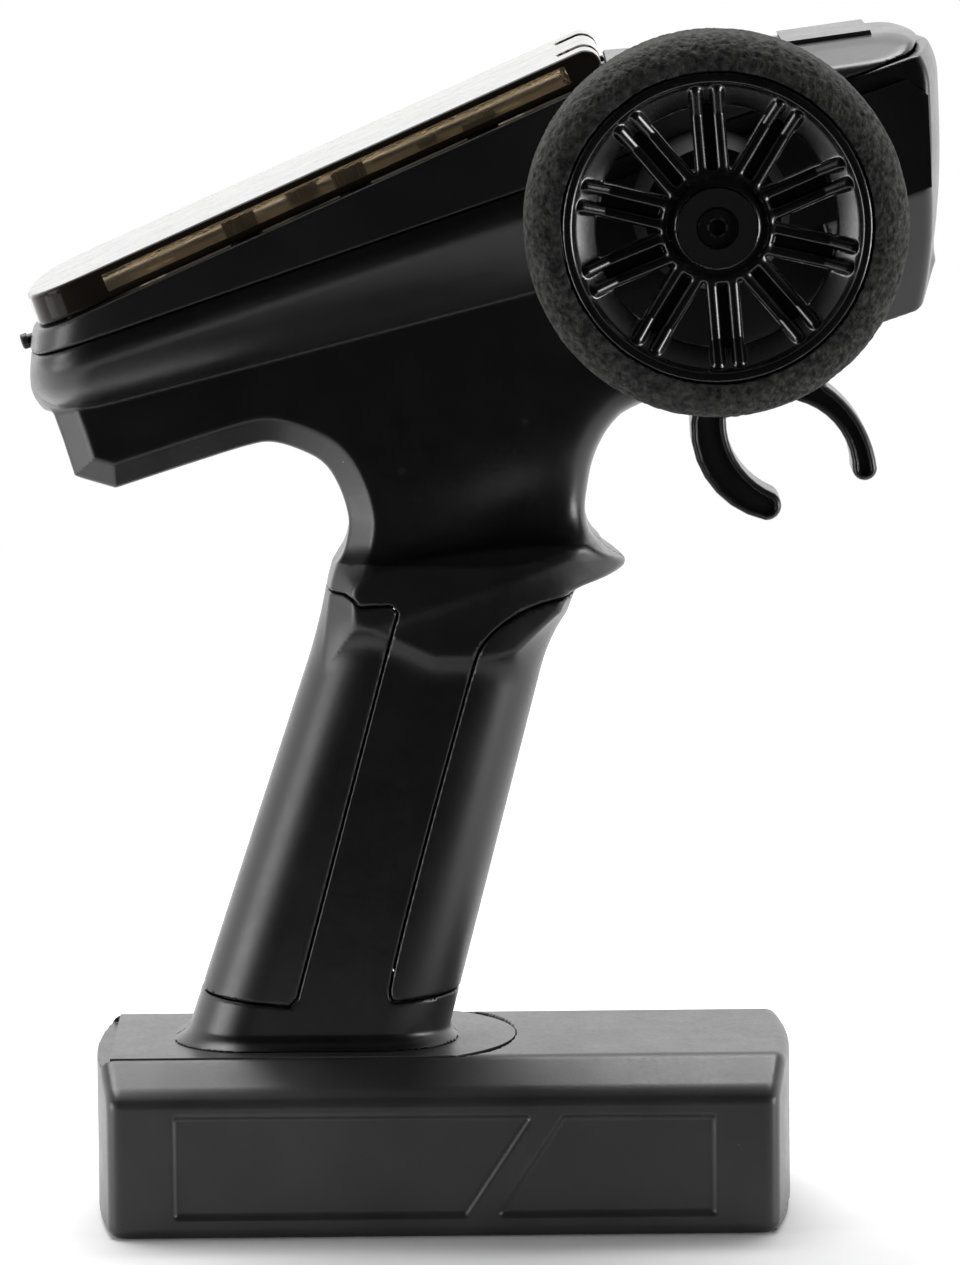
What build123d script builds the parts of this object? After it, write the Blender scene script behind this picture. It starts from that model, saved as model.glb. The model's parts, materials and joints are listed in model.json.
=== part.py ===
from build123d import *
import os
from math import cos, radians, sin, tan

# Pistol-grip radio transmitter. The origin is the centre of the base's flat bottom face.
# +X is the front of the transmitter, +Z is up, and the steering wheel is on the -Y side.
# All sizes are in millimetres and degrees.

# ---------------------------------------------------------------- clearances
running_fit = 0.05          # radial play of a shaft, pin or screw in its hole
sliding_gap = 0.3           # play round a part that moves
seam_gap = 0.1              # play round a part that is fixed in place
straight_end = 0.01         # bow of an end that is all but straight

# ---------------------------------------------------------------- batteries
cell_count = 4
cell_diameter = 14.5
cell_length = 50.5
cell_gap = 0.5
cell_nub_radius = 2.6
cell_nub_length = 1.2
contact_depth = 3.0
contact_thickness = 0.4
contact_spring_wire = 0.6
box_wall = 1.4

# ---------------------------------------------------------------- base
base_height = 33.1
base_top_width = 46.0
base_side_height = 26.3
base_shoulder_height = 28.1
base_shoulder_inset = 1.5
base_side_room = 4.0
base_end_bulge = 3.4
base_corner_radius = 4.0
base_bottom_chamfer = 3.0
base_wall = 2.4
base_top_thickness = 3.2
bottom_thickness = 2.4
bottom_land = 3.0
door_thickness = 2.0
door_clearance = 0.3
foot_plate_thickness = 1.6
foot_plate_front = 14.0
wire_hole_length = 18.0
wire_hole_width = 9.0
lead_radius = 1.6
lead_offset = -6.2
lead_bend_radii = (10.0, 20.0, 20.0)

# ---------------------------------------------------------------- grip
grip_height = 88.9
grip_lean = 16.6
grip_foot_x = -24.5
grip_foot_depth = 50.4
grip_top_depth = 44.0
grip_half_width = 16.5
grip_corner_radius = 12.0
grip_wall = 3.4
pad_thickness = 1.6
pad_foot_margin = 9.0
pad_top_margin = 3.4
rear_pad_foot_depth = 18.6
rear_pad_top_depth = 14.6
front_pad_depth = 12.6
front_pad_shoulder = 11.0
throat_length = 18.0
throat_width = 12.0

# ---------------------------------------------------------------- head
head_slope = 18.6
head_half_width = 33.0
web_half_width = 16.5
wall = 2.4
seam_height = 68.1
ridge_height = 64.4
flank_rear_height = 55.4
flank_front_height = 44.3
front_facet_height = 44.0
front_facet_drop = 15.0
front_block_start = 44.0
head_rear = -58.6
head_rear_bulge = 4.6
head_front = 117.2
head_front_bulge = 3.4
head_front_lean = 6.4
upper_rear_lean = 2.4
deck_start = -50.0
deck_thickness = 1.2
hump_top = ((93.6, 76.6), (109.8, 73.4), (118.2, 71.4))
hump_rear_height = 85.0
hump_nose_height = 70.4

# ---------------------------------------------------------------- lid and controls
lid_slope = 23.7
lid_hinge_u = 57.0
lid_hinge_v = 86.2
lid_length = 110.0
lid_half_height = 3.1
lid_wall = 1.8
lid_roof = 1.6
lid_side_inset = 0.9
hinge_pin_radius = 1.0
hinge_lug_width = 6.0
hinge_lug_offset = 17.0
panel_thickness = 1.8
panel_drop = 0.8
board_thickness = 1.5
board_depth = 8.6
board_half_width = 22.0
control_inset = 8.6
knob_radius = 3.3
knob_cap_gap = 0.5
knob_stem_radius = 1.5
pot_size = 9.0
steering_trim_distance = 71.3
throttle_trim_distance = 48.8
power_switch_distance = 22.6
dual_rate_distance = 60.0
reverse_distances = (34.0, 22.0)
switch_length = 6.3
switch_width = 4.0
switch_height = 3.0
switch_travel = 3.0
switch_teeth = 10
reverse_length = 4.0
reverse_height = 1.6
lamp_radius = 1.5
lamp_distances = (84.0, 90.0)
button_radius = 1.1
button_head_radius = 1.5
button_head_length = 1.3
button_reach = 2.4
button_height = 69.7
button_collar_radius = 1.6
button_collar_length = 0.7
button_travel = 0.8
button_switch_size = 3.0
antenna_length = 40.0
antenna_thickness = 1.0
antenna_start = 97.0
antenna_end = 108.0
cover_plate_thickness = 0.8
cover_plate_half_width = 17.0

# ---------------------------------------------------------------- wheel
wheel_u = 70.5
wheel_v = 53.6
wheel_diameter = 70.6
wheel_width = 24.0
wheel_gap = 3.5
foam_thickness = 7.0
foam_shoulder = 6.5
rim_lip = 1.4
rim_band = 1.6
dish_depth = 4.6
spoke_opening_radius = 22.0
spoke_count = 10
spoke_phase = 94.5
spoke_width = 6.4
spoke_groove = 1.4
spoke_groove_depth = 1.2
spoke_thickness = 3.4
hub_radius = 9.0
hub_cap_radius = 7.2
hub_cap_thickness = 1.6
wheel_screw_radius = 3.4
wheel_screw_recess = 3.9
shaft_radius = 3.0
bearing_radius = 6.5
bearing_width = 5.0
pod_radius = 15.0
pod_length = 13.5
mount_plate_thickness = 1.2
mount_neck_radius = 9.2
mount_neck_length = 11.0
steering_pot_radius = 9.0
steering_pot_length = 9.0

# ---------------------------------------------------------------- trigger
trigger_u = 74.8
trigger_v = 31.8
trigger_half_width = 7.0
trigger_hub_radius = 7.0
trigger_shaft_radius = 2.0
trigger_slot_gap = 0.7
trigger_slot = (46.0, 84.0)
trigger_pot_length = 5.0
trigger_pot_size = 12.0
spring_wire = 0.9
spring_turns = 4

# ---------------------------------------------------------------- fasteners
case_screw_radius = 1.3
case_screw_head_radius = 2.8
case_screw_head_height = 1.6
case_boss_radius = 3.6
case_screw_places = ((-47.0, 46.0), (6.0, 25.0), (94.0, 25.6))
grip_screw_heights = (14.0, 64.0)
case_screw_pocket = 2.0
case_screw_reach = 9.0
base_screw_radius = 1.3
base_screw_head_radius = 2.6
base_post_radius = 3.4
base_post_overlap = 0.5
base_screw_length = 12.0

# ---------------------------------------------------------------- derived places
cell_pitch = cell_diameter + cell_gap
base_half_width = cell_count * cell_pitch / 2 + base_side_room
bay_length = cell_length + 2 * contact_depth
base_half_length = bottom_land + bay_length + box_wall + base_wall + 2 * seam_gap
grip_top_x = grip_foot_x + grip_height * tan(radians(grip_lean))
grip_top_z = base_height + grip_height
head_side = Plane(
    origin=(grip_top_x, 0, grip_top_z),
    x_dir=(cos(radians(head_slope)), 0, sin(radians(head_slope))),
    z_dir=(0, -1, 0),
)


def head_point(u, v, y=0):
    """A point given along (u) and above (v) the head's axis, at y across it."""
    point = head_side.origin + head_side.x_dir * u + head_side.y_dir * v
    return Vector(point.X, y, point.Z)


def head_level(v):
    """A plane parallel to the head's axis, v above it, with local x forward and y across."""
    return Plane(origin=head_point(0, v), x_dir=head_side.x_dir, z_dir=head_side.y_dir)


def cross_plane(point, y):
    """A plane across the transmitter at y, centred on a point, that faces the wheel side."""
    return Plane(origin=(point.X, y, point.Z), x_dir=(1, 0, 0), z_dir=(0, -1, 0))


hinge = head_point(lid_hinge_u, lid_hinge_v)
lid_rearward = Vector(-cos(radians(lid_slope)), 0, -sin(radians(lid_slope)))
lid_upward = Vector(-sin(radians(lid_slope)), 0, cos(radians(lid_slope)))
lid_side = Plane(origin=hinge, x_dir=lid_rearward, z_dir=(0, 1, 0))
lid_to_head = radians(lid_slope - head_slope)
lid_half_width = head_half_width - lid_side_inset
control_offset = lid_half_width - control_inset
rim_level = -lid_half_height - sliding_gap
panel_level = rim_level - panel_drop
panel_bottom = panel_level - panel_thickness
board_level = panel_bottom - board_depth
wheel_centre = head_point(wheel_u, wheel_v)
trigger_pivot = head_point(trigger_u, trigger_v)
wheel_radius = wheel_diameter / 2
rim_radius = wheel_radius - foam_thickness
wheel_inner_y = -head_half_width - mount_plate_thickness - pod_length - wheel_gap
wheel_outer_y = wheel_inner_y - wheel_width
inner_shaft_y = -head_half_width + mount_neck_length + steering_pot_length - 1


def lid_level(n):
    """A plane parallel to the lid, n above the hinge axis: local x rearward, y to the wheel side."""
    return Plane(origin=hinge + lid_upward * n, x_dir=lid_rearward, z_dir=lid_upward)


def rim_line(u):
    """Height above the head's axis of the upper case's rim, under the lid, at u."""
    return lid_hinge_v + rim_level / cos(lid_to_head) - (lid_hinge_u - u) * tan(lid_to_head)


def slab(plane, points, half_width):
    """A plate cut to a side outline, centred on the middle plane."""
    with BuildPart() as plate:
        with BuildSketch(plane):
            with BuildLine():
                Polyline(*points, close=True)
            make_face()
        extrude(amount=half_width, both=True)
    return plate.part


def disc(plane, radius, length, bore=0):
    """A cylinder, or a ring round a bore, that stands on a plane."""
    with BuildPart() as round_bar:
        with BuildSketch(plane):
            Circle(radius)
            if bore > 0:
                Circle(bore, mode=Mode.SUBTRACT)
        extrude(amount=length)
    return round_bar.part


def coil(plane, radius, wire, pitch, turns):
    """A coil spring that stands on a plane."""
    with BuildPart() as spring:
        with BuildLine():
            path = Helix(pitch, pitch * turns, radius, center=plane.origin, direction=plane.z_dir)
        with BuildSketch(Plane(origin=path @ 0, z_dir=path % 0)):
            Circle(wire / 2)
        sweep(path=path, is_frenet=True)
    return spring.part


def finish(piece, name, color=(0.1, 0.1, 0.1)):
    """Label a finished piece and write it to its own file."""
    piece.part.label = name
    piece.part.color = Color(*color)
    export_step(piece.part, f"parts/{name}.step")


os.makedirs("parts", exist_ok=True)


# ================================================================ body forms
def head_plan(rear, front, half_width, rear_bulge, front_bulge):
    """Plan outline of the head at one level, with bowed ends."""
    with BuildLine() as outline:
        Line((rear, -half_width), (front, -half_width))
        ThreePointArc((front, -half_width), (front + front_bulge, 0), (front, half_width))
        Line((front, half_width), (rear, half_width))
        ThreePointArc((rear, half_width), (rear - rear_bulge, 0), (rear, -half_width))
    make_face(outline.edges())


def grip_section(height, inset):
    """Cross-section of the grip at a height above its foot."""
    share = height / grip_height
    depth = grip_foot_depth + (grip_top_depth - grip_foot_depth) * share - 2 * inset
    with Locations((grip_foot_x + height * tan(radians(grip_lean)), 0)):
        RectangleRounded(depth, 2 * (grip_half_width - inset), grip_corner_radius - inset)


def grip_form(inset):
    """The leaning grip, from the base to the finger hook."""
    with BuildPart() as form:
        with BuildSketch(Plane.XY.offset(base_height)):
            grip_section(0, inset)
        with BuildSketch(Plane.XY.offset(grip_top_z)):
            grip_section(grip_height, inset)
        loft(ruled=True)
    return form.part


grip_half_depth = grip_top_depth / 2
web_points = (
    (head_rear - 3.4, seam_height - 10),
    (head_rear - 1.5, 43.2),
    (head_rear + 4.9, 38.2),
    (-26.0, 38.2),
    (-18.6, 35.0),
    (-14.2, 28.6),
    (-13.6, 20.0),
    (-16.2, 13.4),
    (-grip_half_depth * cos(radians(head_slope)), grip_half_depth * sin(radians(head_slope))),
    (grip_half_depth * cos(radians(head_slope)), -grip_half_depth * sin(radians(head_slope))),
    (33.3, -7.9),
    (29.6, -2.6),
    (28.6, 1.9),
    (31.2, 9.1),
    (35.6, 15.8),
    (43.3, 20.9),
    (head_front - 14.9, 20.9),
    (head_front - 9.6, front_facet_height - front_facet_drop),
    (head_front - 8.0, seam_height - 10),
)


def web_form(inset, half_width):
    """The flat web under the head: chin, neck and trigger housing in one side outline."""
    with BuildPart() as form:
        with BuildSketch(head_side):
            with BuildLine():
                Polyline(*web_points, close=True)
            make_face()
            if inset > 0:
                offset(amount=-inset, kind=Kind.INTERSECTION)
        extrude(amount=half_width, both=True)
    return form.part


def head_form(inset):
    """The head below the seam: sloping flanks, upright band and faceted front."""
    half_width = head_half_width - inset
    rear = head_rear + inset
    front = head_front - inset
    lower_front = front - head_front_lean
    flank_run = head_point(head_front, flank_front_height) - head_point(head_rear, flank_rear_height)
    flank_plane = Plane(
        origin=head_point(head_rear, flank_rear_height + inset),
        x_dir=flank_run,
        z_dir=flank_run.cross(Vector(0, 1, 0)),
    )
    with BuildPart() as form:
        with BuildSketch(head_level(ridge_height)):
            head_plan(rear, front, half_width, head_rear_bulge, head_front_bulge)
        with BuildSketch(flank_plane):
            head_plan(inset, front - head_rear - head_front_lean, web_half_width - inset / 2, 2.0, 2.0)
        loft(ruled=True)
        with BuildSketch(head_level(ridge_height)):
            head_plan(rear, front, half_width, head_rear_bulge, head_front_bulge)
        extrude(amount=seam_height - ridge_height + (inset > 0) * 2)
        with BuildSketch(head_level(ridge_height)):
            head_plan(front_block_start + inset, front, half_width, straight_end, head_front_bulge)
        with BuildSketch(head_level(front_facet_height)):
            head_plan(front_block_start + inset, lower_front, half_width, straight_end, head_front_bulge)
        loft(ruled=True)
        with BuildSketch(head_level(front_facet_height)):
            head_plan(front_block_start + inset, lower_front, half_width, straight_end, head_front_bulge)
        with BuildSketch(head_level(front_facet_height - front_facet_drop + inset)):
            head_plan(
                front_block_start + inset, lower_front - 2.5, web_half_width - inset / 2, straight_end, 1.0
            )
        loft(ruled=True)
    return form.part

rear_side = head_rear + upper_rear_lean
upper_rear_bulge = head_rear_bulge - 1
rear_face = rear_side - upper_rear_bulge
lid_rear = rear_side + 2.4


def grip_edge(z, side):
    """Side outline of the grip at height z: side is -1 at the rear and +1 at the front."""
    share = (z - base_height) / grip_height
    depth = grip_foot_depth + (grip_top_depth - grip_foot_depth) * share
    return grip_foot_x + (z - base_height) * tan(radians(grip_lean)) + side * depth / 2


def grip_point(height):
    """A point on the grip's centre line, at a height above its foot."""
    return Vector(grip_foot_x + height * tan(radians(grip_lean)), 0, base_height + height)


# ================================================================ grip pads
pad_foot_z = base_height + pad_foot_margin
pad_top_z = grip_top_z - pad_top_margin
beyond = 5.0
pad_skin = grip_form(0) - grip_form(pad_thickness)
rear_pad_window = slab(
    Plane.XZ,
    (
        (grip_edge(pad_foot_z, -1) - beyond, pad_foot_z),
        (grip_edge(pad_foot_z, -1) + rear_pad_foot_depth, pad_foot_z),
        (grip_edge(pad_top_z, -1) + rear_pad_top_depth, pad_top_z),
        (grip_edge(pad_top_z, -1) - beyond, pad_top_z),
    ),
    grip_half_width + beyond,
)
front_pad_corner_z = pad_top_z - front_pad_shoulder
front_pad_window = slab(
    Plane.XZ,
    (
        (grip_edge(pad_foot_z, 1) + beyond, pad_foot_z),
        (grip_edge(pad_foot_z, 1) - front_pad_depth, pad_foot_z),
        (grip_edge(front_pad_corner_z, 1) - front_pad_depth, front_pad_corner_z),
        (grip_edge(pad_top_z, 1) - 2, pad_top_z),
        (grip_edge(pad_top_z, 1) + beyond, pad_top_z),
    ),
    grip_half_width + beyond,
)

with BuildPart() as rear_grip_pad:
    add(pad_skin)
    add(rear_pad_window, mode=Mode.INTERSECT)
finish(rear_grip_pad, "rear_grip_pad")

with BuildPart() as front_grip_pad:
    add(pad_skin)
    add(front_pad_window, mode=Mode.INTERSECT)
finish(front_grip_pad, "front_grip_pad")


# ================================================================ case screws
case_screw_points = [head_point(u, v) for u, v in case_screw_places]
case_screw_points += [grip_point(height) for height in grip_screw_heights]
screw_seat_y = web_half_width - case_screw_pocket

with BuildPart() as case_screws:
    for point in case_screw_points:
        with BuildSketch(cross_plane(point, screw_seat_y)):
            Circle(case_screw_head_radius)
            RegularPolygon(case_screw_radius, 6, mode=Mode.SUBTRACT)
        extrude(amount=case_screw_head_height)
        with BuildSketch(cross_plane(point, screw_seat_y - case_screw_head_height / 2)):
            Circle(case_screw_radius)
        extrude(amount=screw_seat_y - case_screw_head_height / 2 + case_screw_reach)
finish(case_screws, "case_screws", (0.3, 0.3, 0.3))


# ================================================================ body shells
body_solid = head_form(0) + web_form(0, web_half_width) + grip_form(0)
body_hollow = head_form(wall) + web_form(wall, web_half_width - wall) + grip_form(grip_wall)
trigger_slot_points = (
    (trigger_slot[0], 0),
    (trigger_slot[1], 0),
    (trigger_slot[1], front_facet_height),
    (trigger_slot[0], front_facet_height),
)
trigger_slot_cut = slab(head_side, trigger_slot_points, trigger_half_width + trigger_slot_gap)
trigger_boss_radius = trigger_shaft_radius * 2
trigger_boss_start = trigger_half_width + sliding_gap
trigger_pot_end = trigger_boss_start + trigger_pot_length
boss_root = web_half_width - wall / 2

with BuildPart() as body:
    add(body_solid)
    add(body_hollow, mode=Mode.SUBTRACT)
    with BuildSketch(Plane.XY.offset(grip_top_z - grip_wall)):
        with Locations((grip_top_x, 0)):
            RectangleRounded(throat_length, throat_width, throat_width / 3)
    extrude(amount=2 * grip_wall, mode=Mode.SUBTRACT)
    add(trigger_slot_cut, mode=Mode.SUBTRACT)
    for point in case_screw_points:
        with BuildSketch(cross_plane(point, boss_root)):
            Circle(case_boss_radius)
        extrude(amount=2 * boss_root)
    with BuildSketch(cross_plane(trigger_pivot, -trigger_boss_start)):
        Circle(trigger_boss_radius)
    extrude(amount=boss_root - trigger_boss_start + wall)
    with BuildSketch(cross_plane(trigger_pivot, boss_root + wall)):
        Circle(trigger_boss_radius)
    extrude(amount=boss_root + wall - trigger_pot_end)
    with BuildSketch(cross_plane(trigger_pivot, web_half_width)):
        Circle(trigger_shaft_radius + running_fit)
    extrude(amount=2 * web_half_width, mode=Mode.SUBTRACT)
    for point in case_screw_points:
        with BuildSketch(cross_plane(point, web_half_width + wall)):
            Circle(case_screw_head_radius + seam_gap)
        extrude(amount=wall + case_screw_pocket + case_screw_head_height, mode=Mode.SUBTRACT)
        with BuildSketch(cross_plane(point, web_half_width)):
            Circle(case_screw_radius + running_fit)
        extrude(amount=web_half_width + case_screw_reach + seam_gap, mode=Mode.SUBTRACT)
    with BuildSketch(cross_plane(wheel_centre, -head_half_width + 2 * wall)):
        Circle(mount_neck_radius + seam_gap)
    extrude(amount=4 * wall, mode=Mode.SUBTRACT)
    add(rear_grip_pad.part, mode=Mode.SUBTRACT)
    add(front_grip_pad.part, mode=Mode.SUBTRACT)

with BuildPart() as right_body_shell:
    add(body.part)
    split(bisect_by=Plane.XZ, keep=Keep.TOP)
finish(right_body_shell, "right_body_shell", (0.12, 0.12, 0.13))

with BuildPart() as left_body_shell:
    add(body.part)
    split(bisect_by=Plane.XZ, keep=Keep.BOTTOM)
finish(left_body_shell, "left_body_shell", (0.18, 0.18, 0.2))


# ================================================================ upper case
hump_rear = lid_hinge_u + lid_half_height + 2 * sliding_gap
hump_nose = head_front + head_front_bulge - 1
case_top = hump_rear_height + beyond
hump_floor = lid_hinge_v - lid_half_height - 6 * wall


def upper_plan_block(inset, rear):
    """The upper case's plan outline, drawn in by inset, from below the seam to above the lid."""
    with BuildPart() as block:
        with BuildSketch(head_level(seam_height - (inset > 0))):
            head_plan(
                rear + inset,
                head_front - inset,
                head_half_width - inset,
                upper_rear_bulge,
                head_front_bulge,
            )
        extrude(amount=case_top - seam_height + beyond)
    return block.part


upper_outer_slab = slab(
    head_side,
    (
        (head_rear - 2 * beyond, seam_height),
        (head_rear - 2 * beyond, rim_line(head_rear - 2 * beyond)),
        (hump_rear, rim_line(hump_rear)),
        (hump_rear, hump_rear_height),
        *hump_top,
        (hump_nose, hump_nose_height),
        (hump_nose + beyond, seam_height),
    ),
    head_half_width + beyond,
)
upper_inner_slab = slab(
    head_side,
    (
        (head_rear - 2 * beyond, seam_height - 1),
        (head_rear - 2 * beyond, rim_line(head_rear - 2 * beyond) - deck_thickness),
        (deck_start, rim_line(deck_start) - deck_thickness),
        (deck_start, case_top),
        (hump_rear, case_top),
        (hump_rear, hump_floor),
        (hump_rear + wall, hump_floor),
        (hump_rear + wall, hump_rear_height - wall),
        *[(u, v - wall) for u, v in hump_top],
        (hump_nose + beyond, seam_height - 1),
    ),
    head_half_width + beyond,
)
hinge_lug_points = (
    (lid_hinge_u - lid_half_height / 2, lid_hinge_v),
    (lid_hinge_u - lid_half_height / 2, hump_floor + wall),
    (hump_rear, hump_floor + wall),
    (hump_rear, lid_hinge_v - lid_half_height - 2 * sliding_gap),
    (lid_hinge_u + lid_half_height / 2, lid_hinge_v - lid_half_height),
    (lid_hinge_u + lid_half_height / 2, lid_hinge_v),
)
upper_inner = upper_plan_block(wall, rear_side) & upper_inner_slab
button_plane = Plane(
    origin=head_point(rear_face - button_reach, button_height),
    x_dir=(0, 1, 0),
    z_dir=head_side.x_dir,
)

with BuildPart() as upper_case:
    add(upper_plan_block(0, rear_side))
    add(upper_outer_slab, mode=Mode.INTERSECT)
    add(upper_inner, mode=Mode.SUBTRACT)
    for side in (-1, 1):
        lug_plane = head_side.offset(side * hinge_lug_offset)
        with BuildSketch(lug_plane):
            with BuildLine():
                Polyline(*hinge_lug_points, close=True)
            make_face()
            with Locations((lid_hinge_u, lid_hinge_v)):
                Circle(lid_half_height / 2 + hinge_pin_radius / 2)
        extrude(amount=hinge_lug_width / 2, both=True)
    with BuildSketch(cross_plane(hinge, head_half_width)):
        Circle(hinge_pin_radius + running_fit)
    extrude(amount=2 * head_half_width, mode=Mode.SUBTRACT)
    with BuildSketch(button_plane):
        Circle(button_radius + running_fit)
    extrude(amount=button_reach + 2 * wall, mode=Mode.SUBTRACT)
finish(upper_case, "upper_case", (0.16, 0.16, 0.17))

with BuildPart() as antenna_cover:
    with BuildSketch(head_side):
        with BuildLine():
            Polyline(
                hump_top[0],
                hump_top[1],
                (hump_top[1][0], hump_top[1][1] + cover_plate_thickness),
                (hump_top[0][0], hump_top[0][1] + cover_plate_thickness),
                close=True,
            )
        make_face()
    extrude(amount=cover_plate_half_width, both=True)
finish(antenna_cover, "antenna_cover", (0.6, 0.6, 0.6))


def hump_roof(u):
    """Height of the hump's inner roof at u, between its first two top points."""
    (u_a, v_a), (u_b, v_b) = hump_top[:2]
    return v_a - wall + (v_b - v_a) * (u - u_a) / (u_b - u_a)


antenna_points = (
    (antenna_start, hump_roof(antenna_start)),
    (antenna_end, hump_roof(antenna_end)),
    (antenna_end, hump_roof(antenna_end) - antenna_thickness),
    (antenna_start, hump_roof(antenna_start) - antenna_thickness),
)
with BuildPart() as antenna:
    add(slab(head_side, antenna_points, antenna_length / 2))
finish(antenna, "antenna", (0.1, 0.4, 0.2))


# ================================================================ lid
def lid_plan_block(inset):
    """The lid's plan outline, drawn in by inset, from under the rim to above the lid."""
    with BuildPart() as block:
        with BuildSketch(head_level(seam_height - beyond)):
            head_plan(
                lid_rear + inset, hump_rear + beyond, lid_half_width - inset, upper_rear_bulge, straight_end
            )
        extrude(amount=6 * beyond)
    return block.part


lid_plan_outer = lid_plan_block(0)
lid_inner = lid_plan_block(lid_wall) & slab(
    lid_side,
    (
        (lid_half_height + 1, -2 * lid_half_height),
        (lid_length + 3 * beyond, -2 * lid_half_height),
        (lid_length + 3 * beyond, lid_half_height - lid_roof),
        (lid_half_height + 1, lid_half_height - lid_roof),
    ),
    head_half_width,
)
notch = lid_half_height + 2 * sliding_gap

with BuildPart() as lid:
    with BuildSketch(lid_side):
        Circle(lid_half_height)
        with Locations(((lid_length + 2 * beyond) / 2, 0)):
            Rectangle(lid_length + 2 * beyond, 2 * lid_half_height)
    extrude(amount=head_half_width, both=True)
    add(lid_plan_outer, mode=Mode.INTERSECT)
    add(lid_inner, mode=Mode.SUBTRACT)
    for side in (-1, 1):
        with BuildSketch(lid_side.offset(side * hinge_lug_offset)):
            Rectangle(2 * notch, 2 * notch)
        extrude(amount=hinge_lug_width / 2 + sliding_gap, both=True, mode=Mode.SUBTRACT)
    with BuildSketch(cross_plane(hinge, head_half_width)):
        Circle(hinge_pin_radius)
    extrude(amount=2 * head_half_width, mode=Mode.SUBTRACT)
finish(lid, "lid", (0.35, 0.28, 0.2))

with BuildPart() as lid_hinge_pin:
    add(disc(cross_plane(hinge, lid_half_width - seam_gap), hinge_pin_radius,
             2 * (lid_half_width - seam_gap)))
finish(lid_hinge_pin, "lid_hinge_pin", (0.7, 0.7, 0.7))


# ================================================================ control panel and what it carries
trim_distances = {
    "steering_trim": (steering_trim_distance, control_offset),
    "throttle_trim": (throttle_trim_distance, control_offset),
    "dual_rate": (dual_rate_distance, -control_offset / 2),
}
lid_roof_underside = lid_half_height - lid_roof
knob_bottom = panel_level + sliding_gap
panel_start = lid_half_height + 1.5
board_start = 12.0
board_end = 96.0
panel_screw_places = [
    (distance, side * (board_half_width - 5))
    for distance in (board_start + 5, board_end - 5)
    for side in (-1, 1)
]
switch_stem_width = 2.0
panel_plan = upper_plan_block(wall + seam_gap, rear_side) & slab(
    head_side,
    (
        (deck_start + seam_gap, 0),
        (hump_rear, 0),
        (hump_rear, case_top + beyond),
        (deck_start + seam_gap, case_top + beyond),
    ),
    head_half_width,
)


def switch_hole(distance, across, length, depth_across):
    """Slot in the panel for a slide switch's stem, over its travel."""
    with Locations((distance - switch_travel / 2, across)):
        Rectangle(length + switch_travel + 2 * sliding_gap, depth_across + 2 * sliding_gap)


with BuildPart() as control_panel:
    with BuildSketch(lid_level(panel_bottom)):
        with Locations((panel_start + lid_length / 2 + beyond, 0)):
            Rectangle(lid_length + 2 * beyond, 2 * head_half_width)
    extrude(amount=panel_thickness)
    add(panel_plan, mode=Mode.INTERSECT)
    with BuildSketch(lid_level(panel_bottom)):
        with Locations(*panel_screw_places):
            Circle(case_screw_radius * 2)
    extrude(amount=board_level + board_thickness - panel_bottom)
    with BuildSketch(lid_level(panel_bottom - board_depth)):
        with Locations(*panel_screw_places):
            Circle(case_screw_radius + running_fit)
        with Locations(*trim_distances.values()):
            Circle(knob_stem_radius + running_fit)
        with Locations(*[(distance, 0) for distance in lamp_distances]):
            Circle(lamp_radius)
        switch_hole(power_switch_distance, control_offset, switch_stem_width, switch_stem_width)
        for distance in reverse_distances:
            switch_hole(distance, -control_offset / 2, switch_stem_width / 2, switch_stem_width / 2)
    extrude(amount=board_depth + 2 * panel_thickness, mode=Mode.SUBTRACT)
    with BuildSketch(lid_level(panel_level - case_screw_head_height)):
        with Locations(*panel_screw_places):
            Circle(case_screw_head_radius + seam_gap)
    extrude(amount=2 * case_screw_head_height, mode=Mode.SUBTRACT)
finish(control_panel, "control_panel", (0.2, 0.2, 0.22))

with BuildPart() as panel_screws:
    with BuildSketch(lid_level(panel_level - case_screw_head_height)):
        with Locations(*panel_screw_places):
            Circle(case_screw_head_radius)
    extrude(amount=case_screw_head_height)
    with BuildSketch(lid_level(board_level + board_thickness)):
        with Locations(*panel_screw_places):
            Circle(case_screw_radius)
    extrude(amount=panel_level - case_screw_head_height - board_level - board_thickness)
    with BuildSketch(lid_level(panel_level)):
        with Locations(*panel_screw_places):
            RegularPolygon(case_screw_radius, 6)
    extrude(amount=-case_screw_head_height / 2, mode=Mode.SUBTRACT)
finish(panel_screws, "panel_screws", (0.6, 0.6, 0.6))

with BuildPart() as main_board:
    with BuildSketch(lid_level(board_level)):
        with Locations(((board_start + board_end) / 2, 0)):
            Rectangle(board_end - board_start, 2 * board_half_width)
    extrude(amount=board_thickness)
finish(main_board, "main_board", (0.1, 0.4, 0.15))

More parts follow.
